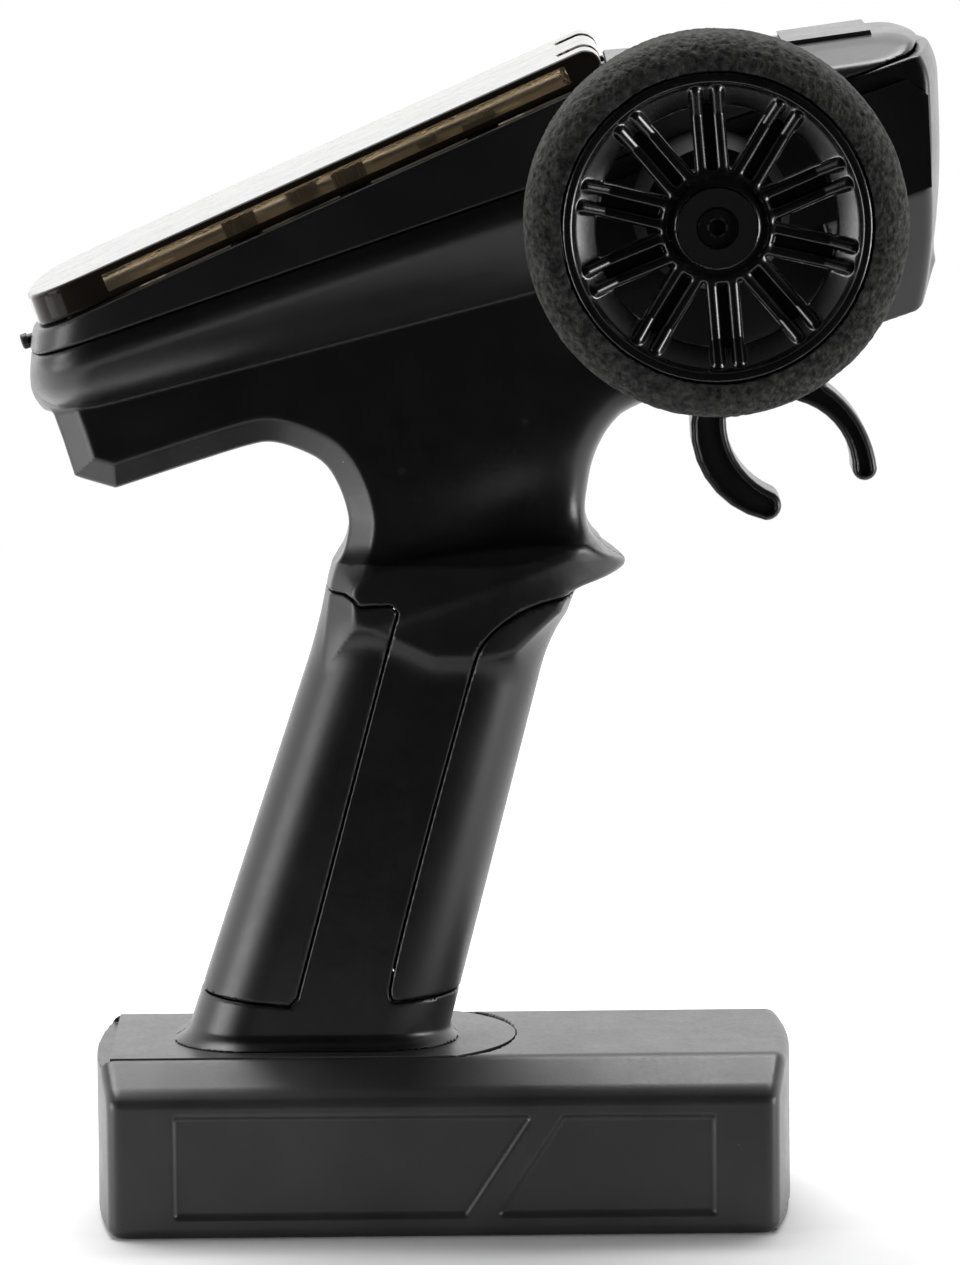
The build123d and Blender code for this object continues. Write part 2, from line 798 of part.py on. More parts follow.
board_top = board_level + board_thickness
for name, (distance, across) in trim_distances.items():
    with BuildPart() as potentiometer:
        with BuildSketch(lid_level(board_top)):
            with Locations((distance, across - (across > board_half_width - pot_size / 2) * pot_size / 4)):
                Rectangle(pot_size, pot_size)
        extrude(amount=panel_bottom - board_top)
        with BuildSketch(lid_level(board_top + wall)):
            with Locations((distance, across)):
                Circle(knob_stem_radius + running_fit)
        extrude(amount=panel_bottom - board_top, mode=Mode.SUBTRACT)
    finish(potentiometer, f"{name}_potentiometer", (0.2, 0.3, 0.6))

    with BuildPart() as knob:
        with BuildSketch(lid_level(knob_bottom)):
            with Locations((distance, across)):
                Circle(knob_radius)
        extrude(amount=lid_roof_underside - knob_cap_gap - knob_bottom)
        with BuildSketch(lid_level(board_top + wall + sliding_gap)):
            with Locations((distance, across)):
                Circle(knob_stem_radius)
        extrude(amount=knob_bottom - board_top - wall - sliding_gap)
        with BuildSketch(lid_level(lid_roof_underside - knob_cap_gap)):
            with Locations((distance + knob_radius / 2, across)):
                Rectangle(knob_radius, knob_radius / 5)
        extrude(amount=-knob_radius / 5, mode=Mode.SUBTRACT)
        with BuildSketch(lid_level(knob_bottom + knob_radius / 4)):
            with Locations((distance, across)):
                with PolarLocations(knob_radius, 18):
                    Circle(knob_radius / 12)
        extrude(amount=2 * lid_half_height, mode=Mode.SUBTRACT)
    finish(knob, f"{name}_knob", (0.15, 0.15, 0.15))


def slide_switch(distance, across, length, width, height, stem, teeth):
    """Cap and stem of a slide switch, at the front end of its travel."""
    with BuildPart() as cap:
        with BuildSketch(lid_level(knob_bottom)):
            with Locations((distance, across)):
                Rectangle(length, width)
        extrude(amount=height)
        with BuildSketch(lid_level(board_top + wall + sliding_gap)):
            with Locations((distance, across)):
                Rectangle(stem, stem)
        extrude(amount=knob_bottom - board_top - wall - sliding_gap)
        tooth_pitch = length / teeth
        with BuildSketch(lid_level(knob_bottom + height)):
            with Locations((distance, across)):
                with GridLocations(tooth_pitch, 0, teeth - 1, 1):
                    Rectangle(tooth_pitch / 2, width)
        extrude(amount=-tooth_pitch / 2, mode=Mode.SUBTRACT)
    return cap


def switch_body(distance, across, length, width, stem):
    """Housing of a slide switch, between the board and the panel."""
    with BuildPart() as housing:
        with BuildSketch(lid_level(board_top)):
            with Locations((distance - switch_travel / 2, across)):
                Rectangle(length + 2 * switch_travel, width)
        extrude(amount=panel_bottom - board_top)
        with BuildSketch(lid_level(board_top + wall)):
            switch_hole(distance, across, stem, stem)
        extrude(amount=panel_bottom - board_top, mode=Mode.SUBTRACT)
    return housing


switches = {
    "power_switch": (power_switch_distance, control_offset, switch_length, switch_width,
                     switch_height, switch_stem_width, switch_teeth),
    "steering_reverse_switch": (reverse_distances[0], -control_offset / 2, reverse_length,
                                reverse_length / 2, reverse_height, switch_stem_width / 2, 4),
    "throttle_reverse_switch": (reverse_distances[1], -control_offset / 2, reverse_length,
                                reverse_length / 2, reverse_height, switch_stem_width / 2, 4),
}
for name, (distance, across, length, width, height, stem, teeth) in switches.items():
    finish(slide_switch(distance, across, length, width, height, stem, teeth), name, (0.1, 0.1, 0.1))
    finish(switch_body(distance, across, length, 1.5 * width, stem), f"{name}_body", (0.5, 0.5, 0.5))

for name, distance in zip(("power_lamp", "battery_lamp"), lamp_distances):
    with BuildPart() as lamp:
        with BuildSketch(lid_level(board_top)):
            with Locations((distance, 0)):
                Circle(lamp_radius)
        extrude(amount=panel_level - board_top + sliding_gap)
        fillet(lamp.edges().sort_by(Axis.Z)[-1], sliding_gap)
    finish(lamp, name, (0.8, 0.2, 0.1))

# ================================================================ rear button
button_stem_length = button_reach + wall + seam_gap + button_collar_length

with BuildPart() as rear_button:
    with BuildSketch(button_plane):
        Circle(button_head_radius)
    extrude(amount=button_head_length)
    fillet(rear_button.edges().group_by(Axis.X)[0], button_head_length / 3)
    with BuildSketch(button_plane):
        Circle(button_radius)
    extrude(amount=button_stem_length)
    with BuildSketch(button_plane.offset(button_stem_length - button_collar_length)):
        Circle(button_collar_radius)
    extrude(amount=button_collar_length)
finish(rear_button, "rear_button", (0.05, 0.05, 0.05))

button_switch_plane = button_plane.offset(button_stem_length + button_travel + running_fit)
with BuildPart() as rear_button_switch:
    with BuildSketch(button_switch_plane):
        Rectangle(button_switch_size, button_switch_size)
    extrude(amount=button_switch_size)
finish(rear_button_switch, "rear_button_switch", (0.3, 0.3, 0.3))


# ================================================================ wheel mount and bearings
mount_face_y = -head_half_width
mount_outline = (
    (front_block_start + 2, front_facet_height),
    (head_front - head_front_lean, front_facet_height),
    (head_front - 1.6, ridge_height - 4),
    (head_front - 4.4, ridge_height),
    (front_block_start + 2, ridge_height),
)
neck_end_y = mount_face_y + mount_neck_length
pod_face_y = mount_face_y - mount_plate_thickness - pod_length

with BuildPart() as wheel_mount:
    with BuildSketch(head_side.offset(head_half_width)):
        with BuildLine():
            Polyline(*mount_outline, close=True)
        make_face()
    extrude(amount=mount_plate_thickness)
    with BuildSketch(cross_plane(wheel_centre, mount_face_y)):
        Circle(pod_radius)
    with BuildSketch(cross_plane(wheel_centre, pod_face_y)):
        Circle(pod_radius - wall)
    loft()
    with BuildSketch(cross_plane(wheel_centre, neck_end_y)):
        Circle(mount_neck_radius)
    extrude(amount=mount_neck_length)
    with BuildSketch(cross_plane(wheel_centre, neck_end_y)):
        Circle(bearing_radius)
    extrude(amount=bearing_width, mode=Mode.SUBTRACT)
    with BuildSketch(cross_plane(wheel_centre, pod_face_y + bearing_width)):
        Circle(bearing_radius)
    extrude(amount=bearing_width, mode=Mode.SUBTRACT)
    with BuildSketch(cross_plane(wheel_centre, neck_end_y)):
        Circle(bearing_radius - 1)
    extrude(amount=neck_end_y - pod_face_y, mode=Mode.SUBTRACT)
finish(wheel_mount, "wheel_mount", (0.14, 0.14, 0.16))

for name, start_y in (
    ("inner_wheel_bearing", neck_end_y),
    ("outer_wheel_bearing", pod_face_y + bearing_width),
):
    with BuildPart() as bearing:
        with BuildSketch(cross_plane(wheel_centre, start_y)):
            Circle(bearing_radius)
            Circle(shaft_radius + running_fit, mode=Mode.SUBTRACT)
        extrude(amount=bearing_width)
    finish(bearing, name, (0.8, 0.8, 0.8))

with BuildPart() as steering_potentiometer:
    with BuildSketch(cross_plane(wheel_centre, neck_end_y + steering_pot_length)):
        Circle(steering_pot_radius)
        Circle(shaft_radius + running_fit, mode=Mode.SUBTRACT)
    extrude(amount=steering_pot_length)
finish(steering_potentiometer, "steering_potentiometer", (0.2, 0.3, 0.6))

centring_radius = (shaft_radius + bearing_radius - 1) / 2
centring_start_y = neck_end_y - bearing_width - spring_wire
with BuildPart() as wheel_centring_spring:
    add(coil(cross_plane(wheel_centre, centring_start_y), centring_radius + spring_wire / 2,
             spring_wire, spring_wire + running_fit * 4, 2 * spring_turns))
finish(wheel_centring_spring, "wheel_centring_spring", (0.7, 0.7, 0.7))


# ================================================================ wheel
spoke_face_y = wheel_outer_y + dish_depth
hub_face_y = wheel_outer_y + rim_lip

with BuildPart() as wheel_tyre:
    with BuildSketch(cross_plane(wheel_centre, wheel_inner_y)):
        Circle(wheel_radius)
    extrude(amount=wheel_width)
    fillet(wheel_tyre.edges(), foam_shoulder)
    with BuildSketch(cross_plane(wheel_centre, wheel_inner_y)):
        Circle(rim_radius)
    extrude(amount=wheel_width, mode=Mode.SUBTRACT)
finish(wheel_tyre, "wheel_tyre", (0.2, 0.2, 0.2))

with BuildPart() as wheel_rim:
    with BuildSketch(cross_plane(wheel_centre, wheel_inner_y)):
        Circle(rim_radius)
        Circle(rim_radius - rim_band, mode=Mode.SUBTRACT)
    extrude(amount=wheel_width)
    with BuildSketch(cross_plane(wheel_centre, spoke_face_y + rim_band)):
        Circle(rim_radius)
    extrude(amount=dish_depth + rim_band)
    with BuildSketch(cross_plane(wheel_centre, wheel_outer_y)):
        Circle(rim_radius - rim_lip)
    with BuildSketch(cross_plane(wheel_centre, spoke_face_y)):
        Circle(spoke_opening_radius)
    loft(mode=Mode.SUBTRACT)
    with BuildSketch(cross_plane(wheel_centre, spoke_face_y + rim_band)):
        Circle(spoke_opening_radius)
    extrude(amount=dish_depth, mode=Mode.SUBTRACT)
    with BuildSketch(cross_plane(wheel_centre, spoke_face_y + spoke_thickness)):
        spoke_end = rim_radius - rim_lip
        with PolarLocations((hub_radius + spoke_end) / 2 - 1, spoke_count, start_angle=spoke_phase):
            Rectangle(spoke_end - hub_radius, spoke_width)
    extrude(amount=spoke_thickness)
    with BuildSketch(cross_plane(wheel_centre, spoke_face_y + spoke_groove_depth)):
        with PolarLocations((hub_radius + spoke_end) / 2, spoke_count, start_angle=spoke_phase):
            Rectangle(spoke_end - hub_radius - 3, spoke_groove)
    extrude(amount=2 * spoke_groove_depth, mode=Mode.SUBTRACT)
    with BuildSketch(cross_plane(wheel_centre, wheel_inner_y)):
        Circle(hub_radius)
    extrude(amount=wheel_inner_y - hub_face_y)
    with BuildSketch(cross_plane(wheel_centre, wheel_inner_y)):
        Circle(shaft_radius)
    extrude(amount=wheel_width, mode=Mode.SUBTRACT)
finish(wheel_rim, "wheel_rim", (0.08, 0.08, 0.1))

with BuildPart() as wheel_cap:
    with BuildSketch(cross_plane(wheel_centre, hub_face_y)):
        Circle(hub_cap_radius)
    extrude(amount=hub_cap_thickness)
    with BuildSketch(cross_plane(wheel_centre, hub_face_y)):
        Circle(wheel_screw_recess)
    extrude(amount=hub_cap_thickness, mode=Mode.SUBTRACT)
finish(wheel_cap, "wheel_cap", (0.1, 0.1, 0.12))

with BuildPart() as wheel_screw:
    with BuildSketch(cross_plane(wheel_centre, hub_face_y)):
        Circle(wheel_screw_radius)
    extrude(amount=hub_cap_thickness / 2)
    with BuildSketch(cross_plane(wheel_centre, hub_face_y)):
        with PolarLocations(0, 3, angular_range=180):
            Rectangle(wheel_screw_radius * 1.1, wheel_screw_radius / 3)
    extrude(amount=hub_cap_thickness / 2, mode=Mode.SUBTRACT)
    with BuildSketch(cross_plane(wheel_centre, hub_face_y + hub_cap_thickness)):
        Circle(shaft_radius / 2)
    extrude(amount=hub_cap_thickness)
finish(wheel_screw, "wheel_screw", (0.1, 0.1, 0.1))

with BuildPart() as wheel_shaft:
    with BuildSketch(cross_plane(wheel_centre, inner_shaft_y)):
        Circle(shaft_radius)
    extrude(amount=inner_shaft_y - hub_face_y)
    with BuildSketch(cross_plane(wheel_centre, hub_face_y + hub_cap_thickness)):
        Circle(shaft_radius / 2)
    extrude(amount=hub_cap_thickness, mode=Mode.SUBTRACT)
finish(wheel_shaft, "wheel_shaft", (0.8, 0.8, 0.8))


# ================================================================ trigger
with BuildPart() as trigger:
    with BuildSketch(cross_plane(trigger_pivot, 0)):
        with BuildLine() as trigger_outline:
            Line((-6.5, -4.0), (-12.4, -17.0))
            ThreePointArc((-12.4, -17.0), (-11.6, -34.6), (-0.1, -42.8))
            ThreePointArc((-0.1, -42.8), (2.6, -41.4), (1.8, -37.6))
            ThreePointArc((1.8, -37.6), (-5.2, -31.6), (-7.5, -23.2))
            ThreePointArc((-7.5, -23.2), (-1.4, -17.4), (6.1, -19.9))
            ThreePointArc((6.1, -19.9), (14.2, -25.6), (16.6, -33.5))
            ThreePointArc((16.6, -33.5), (18.8, -35.3), (21.3, -33.1))
            ThreePointArc((21.3, -33.1), (18.6, -24.6), (11.8, -17.1))
            Line((11.8, -17.1), (6.5, -4.0))
            Line((6.5, -4.0), (-6.5, -4.0))
        make_face(trigger_outline.edges())
        Circle(trigger_hub_radius)
        Circle(trigger_shaft_radius, mode=Mode.SUBTRACT)
    extrude(amount=trigger_half_width, both=True)
finish(trigger, "trigger", (0.1, 0.1, 0.1))

with BuildPart() as trigger_shaft:
    with BuildSketch(cross_plane(trigger_pivot, boss_root)):
        Circle(trigger_shaft_radius)
    extrude(amount=2 * boss_root)
finish(trigger_shaft, "trigger_shaft", (0.8, 0.8, 0.8))

with BuildPart() as trigger_potentiometer:
    with BuildSketch(cross_plane(trigger_pivot, trigger_pot_end)):
        Rectangle(trigger_pot_size, trigger_pot_size)
        Circle(trigger_shaft_radius + running_fit, mode=Mode.SUBTRACT)
    extrude(amount=trigger_pot_length)
finish(trigger_potentiometer, "trigger_potentiometer", (0.2, 0.3, 0.6))

trigger_spring_radius = trigger_boss_radius + sliding_gap + spring_wire / 2
with BuildPart() as trigger_spring:
    add(coil(cross_plane(trigger_pivot, -trigger_boss_start - spring_wire), trigger_spring_radius,
             spring_wire, spring_wire + running_fit * 4, spring_turns))
finish(trigger_spring, "trigger_spring", (0.7, 0.7, 0.7))


# ================================================================ base
def base_plan(inset):
    """Plan outline of the base with bowed ends, drawn in by inset."""
    half_length = base_half_length - inset
    half_width = base_half_width - inset
    head_plan(-half_length, half_length, half_width, base_end_bulge, base_end_bulge)


def base_block(inset, top):
    """The base's outer shape, or the hollow inside it, up to a height."""
    with BuildPart() as block:
        with BuildSketch(Plane.XY):
            base_plan(inset)
        extrude(amount=top)
        if inset == 0:
            fillet(block.edges().filter_by(Axis.Z), base_corner_radius)
            chamfer(block.faces().sort_by(Axis.Z)[0].edges(), base_bottom_chamfer / 2)
        with BuildSketch(Plane.YZ):
            with BuildLine():
                Polyline(
                    (-base_half_width + inset, 0),
                    (base_half_width - inset, 0),
                    (base_half_width - inset, base_side_height - inset),
                    (base_half_width - base_shoulder_inset - inset, base_shoulder_height - inset),
                    (base_top_width / 2 - inset / 2, base_height - inset),
                    (-base_top_width / 2 + inset / 2, base_height - inset),
                    (-base_half_width + base_shoulder_inset + inset, base_shoulder_height - inset),
                    (-base_half_width + inset, base_side_height - inset),
                    close=True,
                )
            make_face()
        extrude(amount=2 * base_half_length, both=True, mode=Mode.INTERSECT)
    return block.part


base_ceiling = base_height - base_top_thickness
base_posts = [
    (x, side * (base_half_width - base_wall + base_post_overlap - base_post_radius))
    for x in (-base_half_length + 3 * base_post_radius, bottom_land - 2 * base_post_radius)
    for side in (-1, 1)
]
base_outer = base_block(0, base_height)
base_inner = base_block(base_wall, base_ceiling)
door_half_width = base_half_width - base_wall - door_clearance
box_half_width = cell_count * cell_pitch / 2 + box_wall
box_start = bottom_land - box_wall
box_length = bay_length + 2 * box_wall
box_bottom = bottom_thickness + seam_gap
cell_height = bottom_thickness + 3 * door_clearance + cell_diameter / 2
box_top = cell_height + cell_diameter / 2 + cell_gap + box_wall
bay_centre_x = bottom_land + bay_length / 2


def foot_plan():
    """Plan of the foot plate: it runs from the base's rear end to a rounded front edge."""
    half_width = base_top_width / 2
    rear = -base_half_length
    with BuildLine() as outline:
        Line((rear, -half_width), (foot_plate_front - half_width / 2, -half_width))
        ThreePointArc(
            (foot_plate_front - half_width / 2, -half_width),
            (foot_plate_front, 0),
            (foot_plate_front - half_width / 2, half_width),
        )
        Line((foot_plate_front - half_width / 2, half_width), (rear, half_width))
        Line((rear, half_width), (rear, -half_width))
    make_face(outline.edges())


with BuildPart() as base_shell:
    add(base_outer)
    add(base_inner, mode=Mode.SUBTRACT)
    with BuildSketch(Plane.XY.offset(bottom_thickness)):
        with Locations(*base_posts):
            Circle(base_post_radius)
    extrude(amount=base_side_height - base_wall - bottom_thickness)
    with BuildSketch(Plane.XY):
        with Locations(*base_posts):
            Circle(base_screw_radius + running_fit)
    extrude(amount=base_screw_length + seam_gap, mode=Mode.SUBTRACT)
    with BuildSketch(Plane.XY):
        with Locations((base_half_length, 0)):
            Rectangle(2 * base_half_length - 2 * bottom_land, 2 * (door_half_width + door_clearance))
    extrude(amount=box_bottom, mode=Mode.SUBTRACT)
    with BuildSketch(Plane.XY.offset(base_height - foot_plate_thickness)):
        foot_plan()
    extrude(amount=foot_plate_thickness, mode=Mode.SUBTRACT)
    with BuildSketch(Plane.XY.offset(base_ceiling)):
        with Locations((grip_foot_x, 0)):
            Rectangle(wire_hole_length, wire_hole_width)
    extrude(amount=base_top_thickness, mode=Mode.SUBTRACT)
finish(base_shell, "base_shell", (0.1, 0.1, 0.12))

with BuildPart() as foot_plate:
    with BuildSketch(Plane.XY.offset(base_height - foot_plate_thickness)):
        foot_plan()
        with Locations((grip_foot_x, 0)):
            Rectangle(wire_hole_length, wire_hole_width, mode=Mode.SUBTRACT)
    extrude(amount=foot_plate_thickness)
finish(foot_plate, "foot_plate", (0.2, 0.2, 0.22))

with BuildPart() as bottom_plate:
    with BuildSketch(Plane.XY):
        base_plan(base_wall + seam_gap)
        with Locations((bottom_land + base_half_length, 0)):
            Rectangle(2 * base_half_length, 2 * base_half_width, mode=Mode.SUBTRACT)
    extrude(amount=bottom_thickness)
    with BuildSketch(Plane.XY):
        with Locations(*base_posts):
            Circle(base_screw_radius + running_fit)
    extrude(amount=bottom_thickness, mode=Mode.SUBTRACT)
    with BuildSketch(Plane.XY):
        with Locations(*base_posts):
            Circle(base_screw_head_radius + seam_gap)
    extrude(amount=bottom_thickness / 2, mode=Mode.SUBTRACT)
finish(bottom_plate, "bottom_plate", (0.2, 0.2, 0.2))

with BuildPart() as base_screws:
    with BuildSketch(Plane.XY.offset(door_clearance)):
        with Locations(*base_posts):
            Circle(base_screw_head_radius)
            RegularPolygon(base_screw_radius, 6, mode=Mode.SUBTRACT)
    extrude(amount=bottom_thickness / 2 - door_clearance)
    with BuildSketch(Plane.XY.offset(bottom_thickness / 2)):
        with Locations(*base_posts):
            Circle(base_screw_radius)
    extrude(amount=base_screw_length - bottom_thickness / 2)
finish(base_screws, "base_screws", (0.6, 0.6, 0.6))

with BuildPart() as battery_door:
    with BuildSketch(Plane.XY.offset(door_clearance)):
        head_plan(bottom_land + door_clearance, base_half_length - door_clearance, door_half_width,
                  straight_end, base_end_bulge)
    extrude(amount=door_thickness)
    with BuildSketch(Plane.XY.offset(door_clearance)):
        with Locations((base_half_length - base_wall, 0)):
            with GridLocations(base_wall, 0, 3, 1):
                Rectangle(base_wall / 3, door_half_width)
    extrude(amount=door_thickness / 4, mode=Mode.SUBTRACT)
finish(battery_door, "battery_door", (0.25, 0.25, 0.25))

with BuildPart() as battery_box:
    with BuildSketch(Plane.XY.offset(box_bottom)):
        with Locations((bay_centre_x, 0)):
            Rectangle(box_length, 2 * box_half_width)
    extrude(amount=box_top - box_bottom)
    with BuildSketch(Plane.XY.offset(box_bottom)):
        with Locations((bay_centre_x, 0)):
            Rectangle(bay_length, 2 * (box_half_width - box_wall))
    extrude(amount=box_top - box_bottom - box_wall, mode=Mode.SUBTRACT)
finish(battery_box, "battery_box", (0.3, 0.3, 0.3))

cell_rows = [(index - (cell_count - 1) / 2) * cell_pitch for index in range(cell_count)]
cell_start_x = bottom_land + contact_depth
for index, row_y in enumerate(cell_rows):
    facing = 1 if index % 2 == 0 else -1
    body_length = cell_length - cell_nub_length
    body_start_x = cell_start_x if facing == 1 else cell_start_x + cell_nub_length
    with BuildPart() as cell:
        with BuildSketch(Plane(origin=(body_start_x, row_y, cell_height), z_dir=(1, 0, 0))):
            Circle(cell_diameter / 2)
        extrude(amount=body_length)
        nub_start_x = body_start_x + body_length if facing == 1 else body_start_x
        with BuildSketch(Plane(origin=(nub_start_x, row_y, cell_height), z_dir=(facing, 0, 0))):
            Circle(cell_nub_radius)
        extrude(amount=cell_nub_length)
    finish(cell, f"battery_cell_{index + 1}", (0.8, 0.6, 0.2))

contact_size = cell_diameter - 3
with BuildPart() as contact_plates:
    for row_y in cell_rows:
        for start_x in (bottom_land, bottom_land + bay_length - contact_thickness):
            with BuildSketch(Plane(origin=(start_x, row_y, cell_height), z_dir=(1, 0, 0))):
                Rectangle(contact_size, contact_size)
            extrude(amount=contact_thickness)
finish(contact_plates, "contact_plates", (0.8, 0.7, 0.4))

contact_spring_length = contact_depth - contact_thickness - contact_spring_wire - 2 * running_fit
contact_springs = []
for index, row_y in enumerate(cell_rows):
    if index % 2 == 0:
        origin = (bottom_land + contact_thickness + contact_spring_wire / 2 + running_fit, row_y, cell_height)
        spring_plane = Plane(origin=origin, z_dir=(1, 0, 0))
    else:
        origin = (
            bottom_land + bay_length - contact_thickness - contact_spring_wire / 2 - running_fit,
            row_y,
            cell_height,
        )
        spring_plane = Plane(origin=origin, z_dir=(-1, 0, 0))
    contact_springs.append(
        coil(spring_plane, cell_nub_radius, contact_spring_wire, contact_spring_length / 2, 2)
    )
with BuildPart() as battery_springs:
    for spring in contact_springs:
        add(spring)
finish(battery_springs, "battery_springs", (0.8, 0.8, 0.8))


# ================================================================ battery lead
def board_underside(u):
    """Height above the head's axis of the main board's underside at u."""
    return lid_hinge_v + board_level / cos(lid_to_head) - (lid_hinge_u - u) * tan(lid_to_head)


lead_shift = Vector(lead_offset, 0, 0)
lead_end = head_point(lead_offset, board_underside(lead_offset) - sliding_gap)
with BuildPart() as battery_lead:
    with BuildLine():
        lead_path = FilletPolyline(
            Vector(box_start - 2 * lead_radius, 0, box_top / 2),
            Vector(grip_foot_x, 0, box_top / 2) + lead_shift,
            grip_point(0) + lead_shift,
            head_point(0, 0) + lead_shift,
            lead_end,
            radius=lead_bend_radii,
        )
    with BuildSketch(Plane(origin=lead_path @ 0, z_dir=lead_path % 0)):
        Circle(lead_radius)
    sweep(path=lead_path)
finish(battery_lead, "battery_lead", (0.6, 0.1, 0.1))
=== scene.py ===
"""Looks of the pistol-grip radio transmitter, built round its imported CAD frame."""

import json
import math

import bpy
import numpy as np
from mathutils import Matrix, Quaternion, Vector, noise


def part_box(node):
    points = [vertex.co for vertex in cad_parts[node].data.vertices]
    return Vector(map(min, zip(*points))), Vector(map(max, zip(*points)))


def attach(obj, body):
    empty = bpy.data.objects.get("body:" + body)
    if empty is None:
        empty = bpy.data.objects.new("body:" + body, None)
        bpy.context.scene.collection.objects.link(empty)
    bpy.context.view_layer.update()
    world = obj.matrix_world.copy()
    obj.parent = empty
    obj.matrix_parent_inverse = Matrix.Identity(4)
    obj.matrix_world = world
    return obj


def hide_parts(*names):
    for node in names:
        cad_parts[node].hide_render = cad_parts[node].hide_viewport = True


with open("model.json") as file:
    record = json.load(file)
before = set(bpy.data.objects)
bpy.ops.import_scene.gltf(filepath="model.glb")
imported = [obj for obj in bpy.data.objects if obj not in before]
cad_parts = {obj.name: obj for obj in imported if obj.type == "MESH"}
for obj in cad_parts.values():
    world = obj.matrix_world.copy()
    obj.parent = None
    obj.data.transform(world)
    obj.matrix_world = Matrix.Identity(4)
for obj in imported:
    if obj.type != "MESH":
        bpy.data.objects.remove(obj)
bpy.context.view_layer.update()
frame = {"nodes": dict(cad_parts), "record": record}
MM = 0.001


def centre_of(node):
    """Middle of a CAD node's box, in millimetres."""
    low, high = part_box(node)
    return (low + high) / 2 / MM


# ================================================================ camera, light and floor
VIEW_DOWN = math.radians(7.9)
VIEW_DISTANCE = 1.5
VIEW_ROLL = math.radians(0.57)
aim = Vector((0.0079, 0, 0.1113))
camera_data = bpy.data.cameras.new("camera")
camera_data.sensor_fit = "VERTICAL"
camera_data.sensor_height = 36
camera_data.sensor_width = 36
camera_data.lens = 222
camera = bpy.data.objects.new("camera", camera_data)
bpy.context.scene.collection.objects.link(camera)
towards_camera = Vector((0, -math.cos(VIEW_DOWN), math.sin(VIEW_DOWN)))
camera.location = aim + towards_camera * VIEW_DISTANCE
camera.rotation_mode = "QUATERNION"
roll = Quaternion((0, 0, 1), -VIEW_ROLL)
camera.rotation_quaternion = (-towards_camera).to_track_quat("-Z", "Y") @ roll
bpy.context.scene.camera = camera
bpy.context.scene.view_settings.view_transform = "Standard"


def softbox(name, place, target, size, power):
    """A rectangular area light at place that faces target."""
    data = bpy.data.lights.new(name, "AREA")
    data.shape = "RECTANGLE"
    data.size, data.size_y = size
    data.energy = power
    light = bpy.data.objects.new(name, data)
    light.location = place
    light.rotation_mode = "QUATERNION"
    light.rotation_quaternion = (Vector(target) - Vector(place)).to_track_quat("-Z", "Y")
    bpy.context.scene.collection.objects.link(light)


softbox("top_light", (-0.1, 0.45, 1.4), (0, 0, 0.1), (1.4, 0.8), 32)
softbox("left_light", (-1.25, -0.40, 0.15), (0, 0, 0.14), (0.6, 0.6), 6)
softbox("right_light", (1.25, -0.40, 0.02), (0, 0, 0.14), (0.7, 0.6), 14)
softbox("low_light", (-0.30, -0.10, 0.02), (-0.02, 0, 0.16), (0.25, 0.15), 0.35)

world = bpy.data.worlds.new("studio")
bpy.context.scene.world = world
world.use_nodes = True
world_nodes, world_links = world.node_tree.nodes, world.node_tree.links
direction = world_nodes.new("ShaderNodeTexCoord")
split = world_nodes.new("ShaderNodeSeparateXYZ")
world_links.new(direction.outputs["Generated"], split.inputs[0])


def fade(socket, start, end, low, high):
    """Smooth change of brightness along one direction of the studio."""
    node = world_nodes.new("ShaderNodeMapRange")
    node.interpolation_type = "SMOOTHSTEP"
    for name, value in (("From Min", start), ("From Max", end), ("To Min", low), ("To Max", high)):
        node.inputs[name].default_value = value
    world_links.new(split.outputs[socket], node.inputs["Value"])
    return node.outputs["Result"]


studio = world_nodes.new("ShaderNodeMath")
studio.operation = "MULTIPLY"
world_links.new(fade("Y", -0.35, 0.05, 0.015, 1.5), studio.inputs[0])
world_links.new(fade("Z", 0.3, 0.9, 1.0, 0.35), studio.inputs[1])
rays = world_nodes.new("ShaderNodeLightPath")
seen = world_nodes.new("ShaderNodeMix")
world_links.new(rays.outputs["Is Camera Ray"], seen.inputs[0])
world_links.new(studio.outputs[0], seen.inputs[2])
seen.inputs[3].default_value = 1.0
world_links.new(seen.outputs[0], world_nodes["Background"].inputs["Color"])


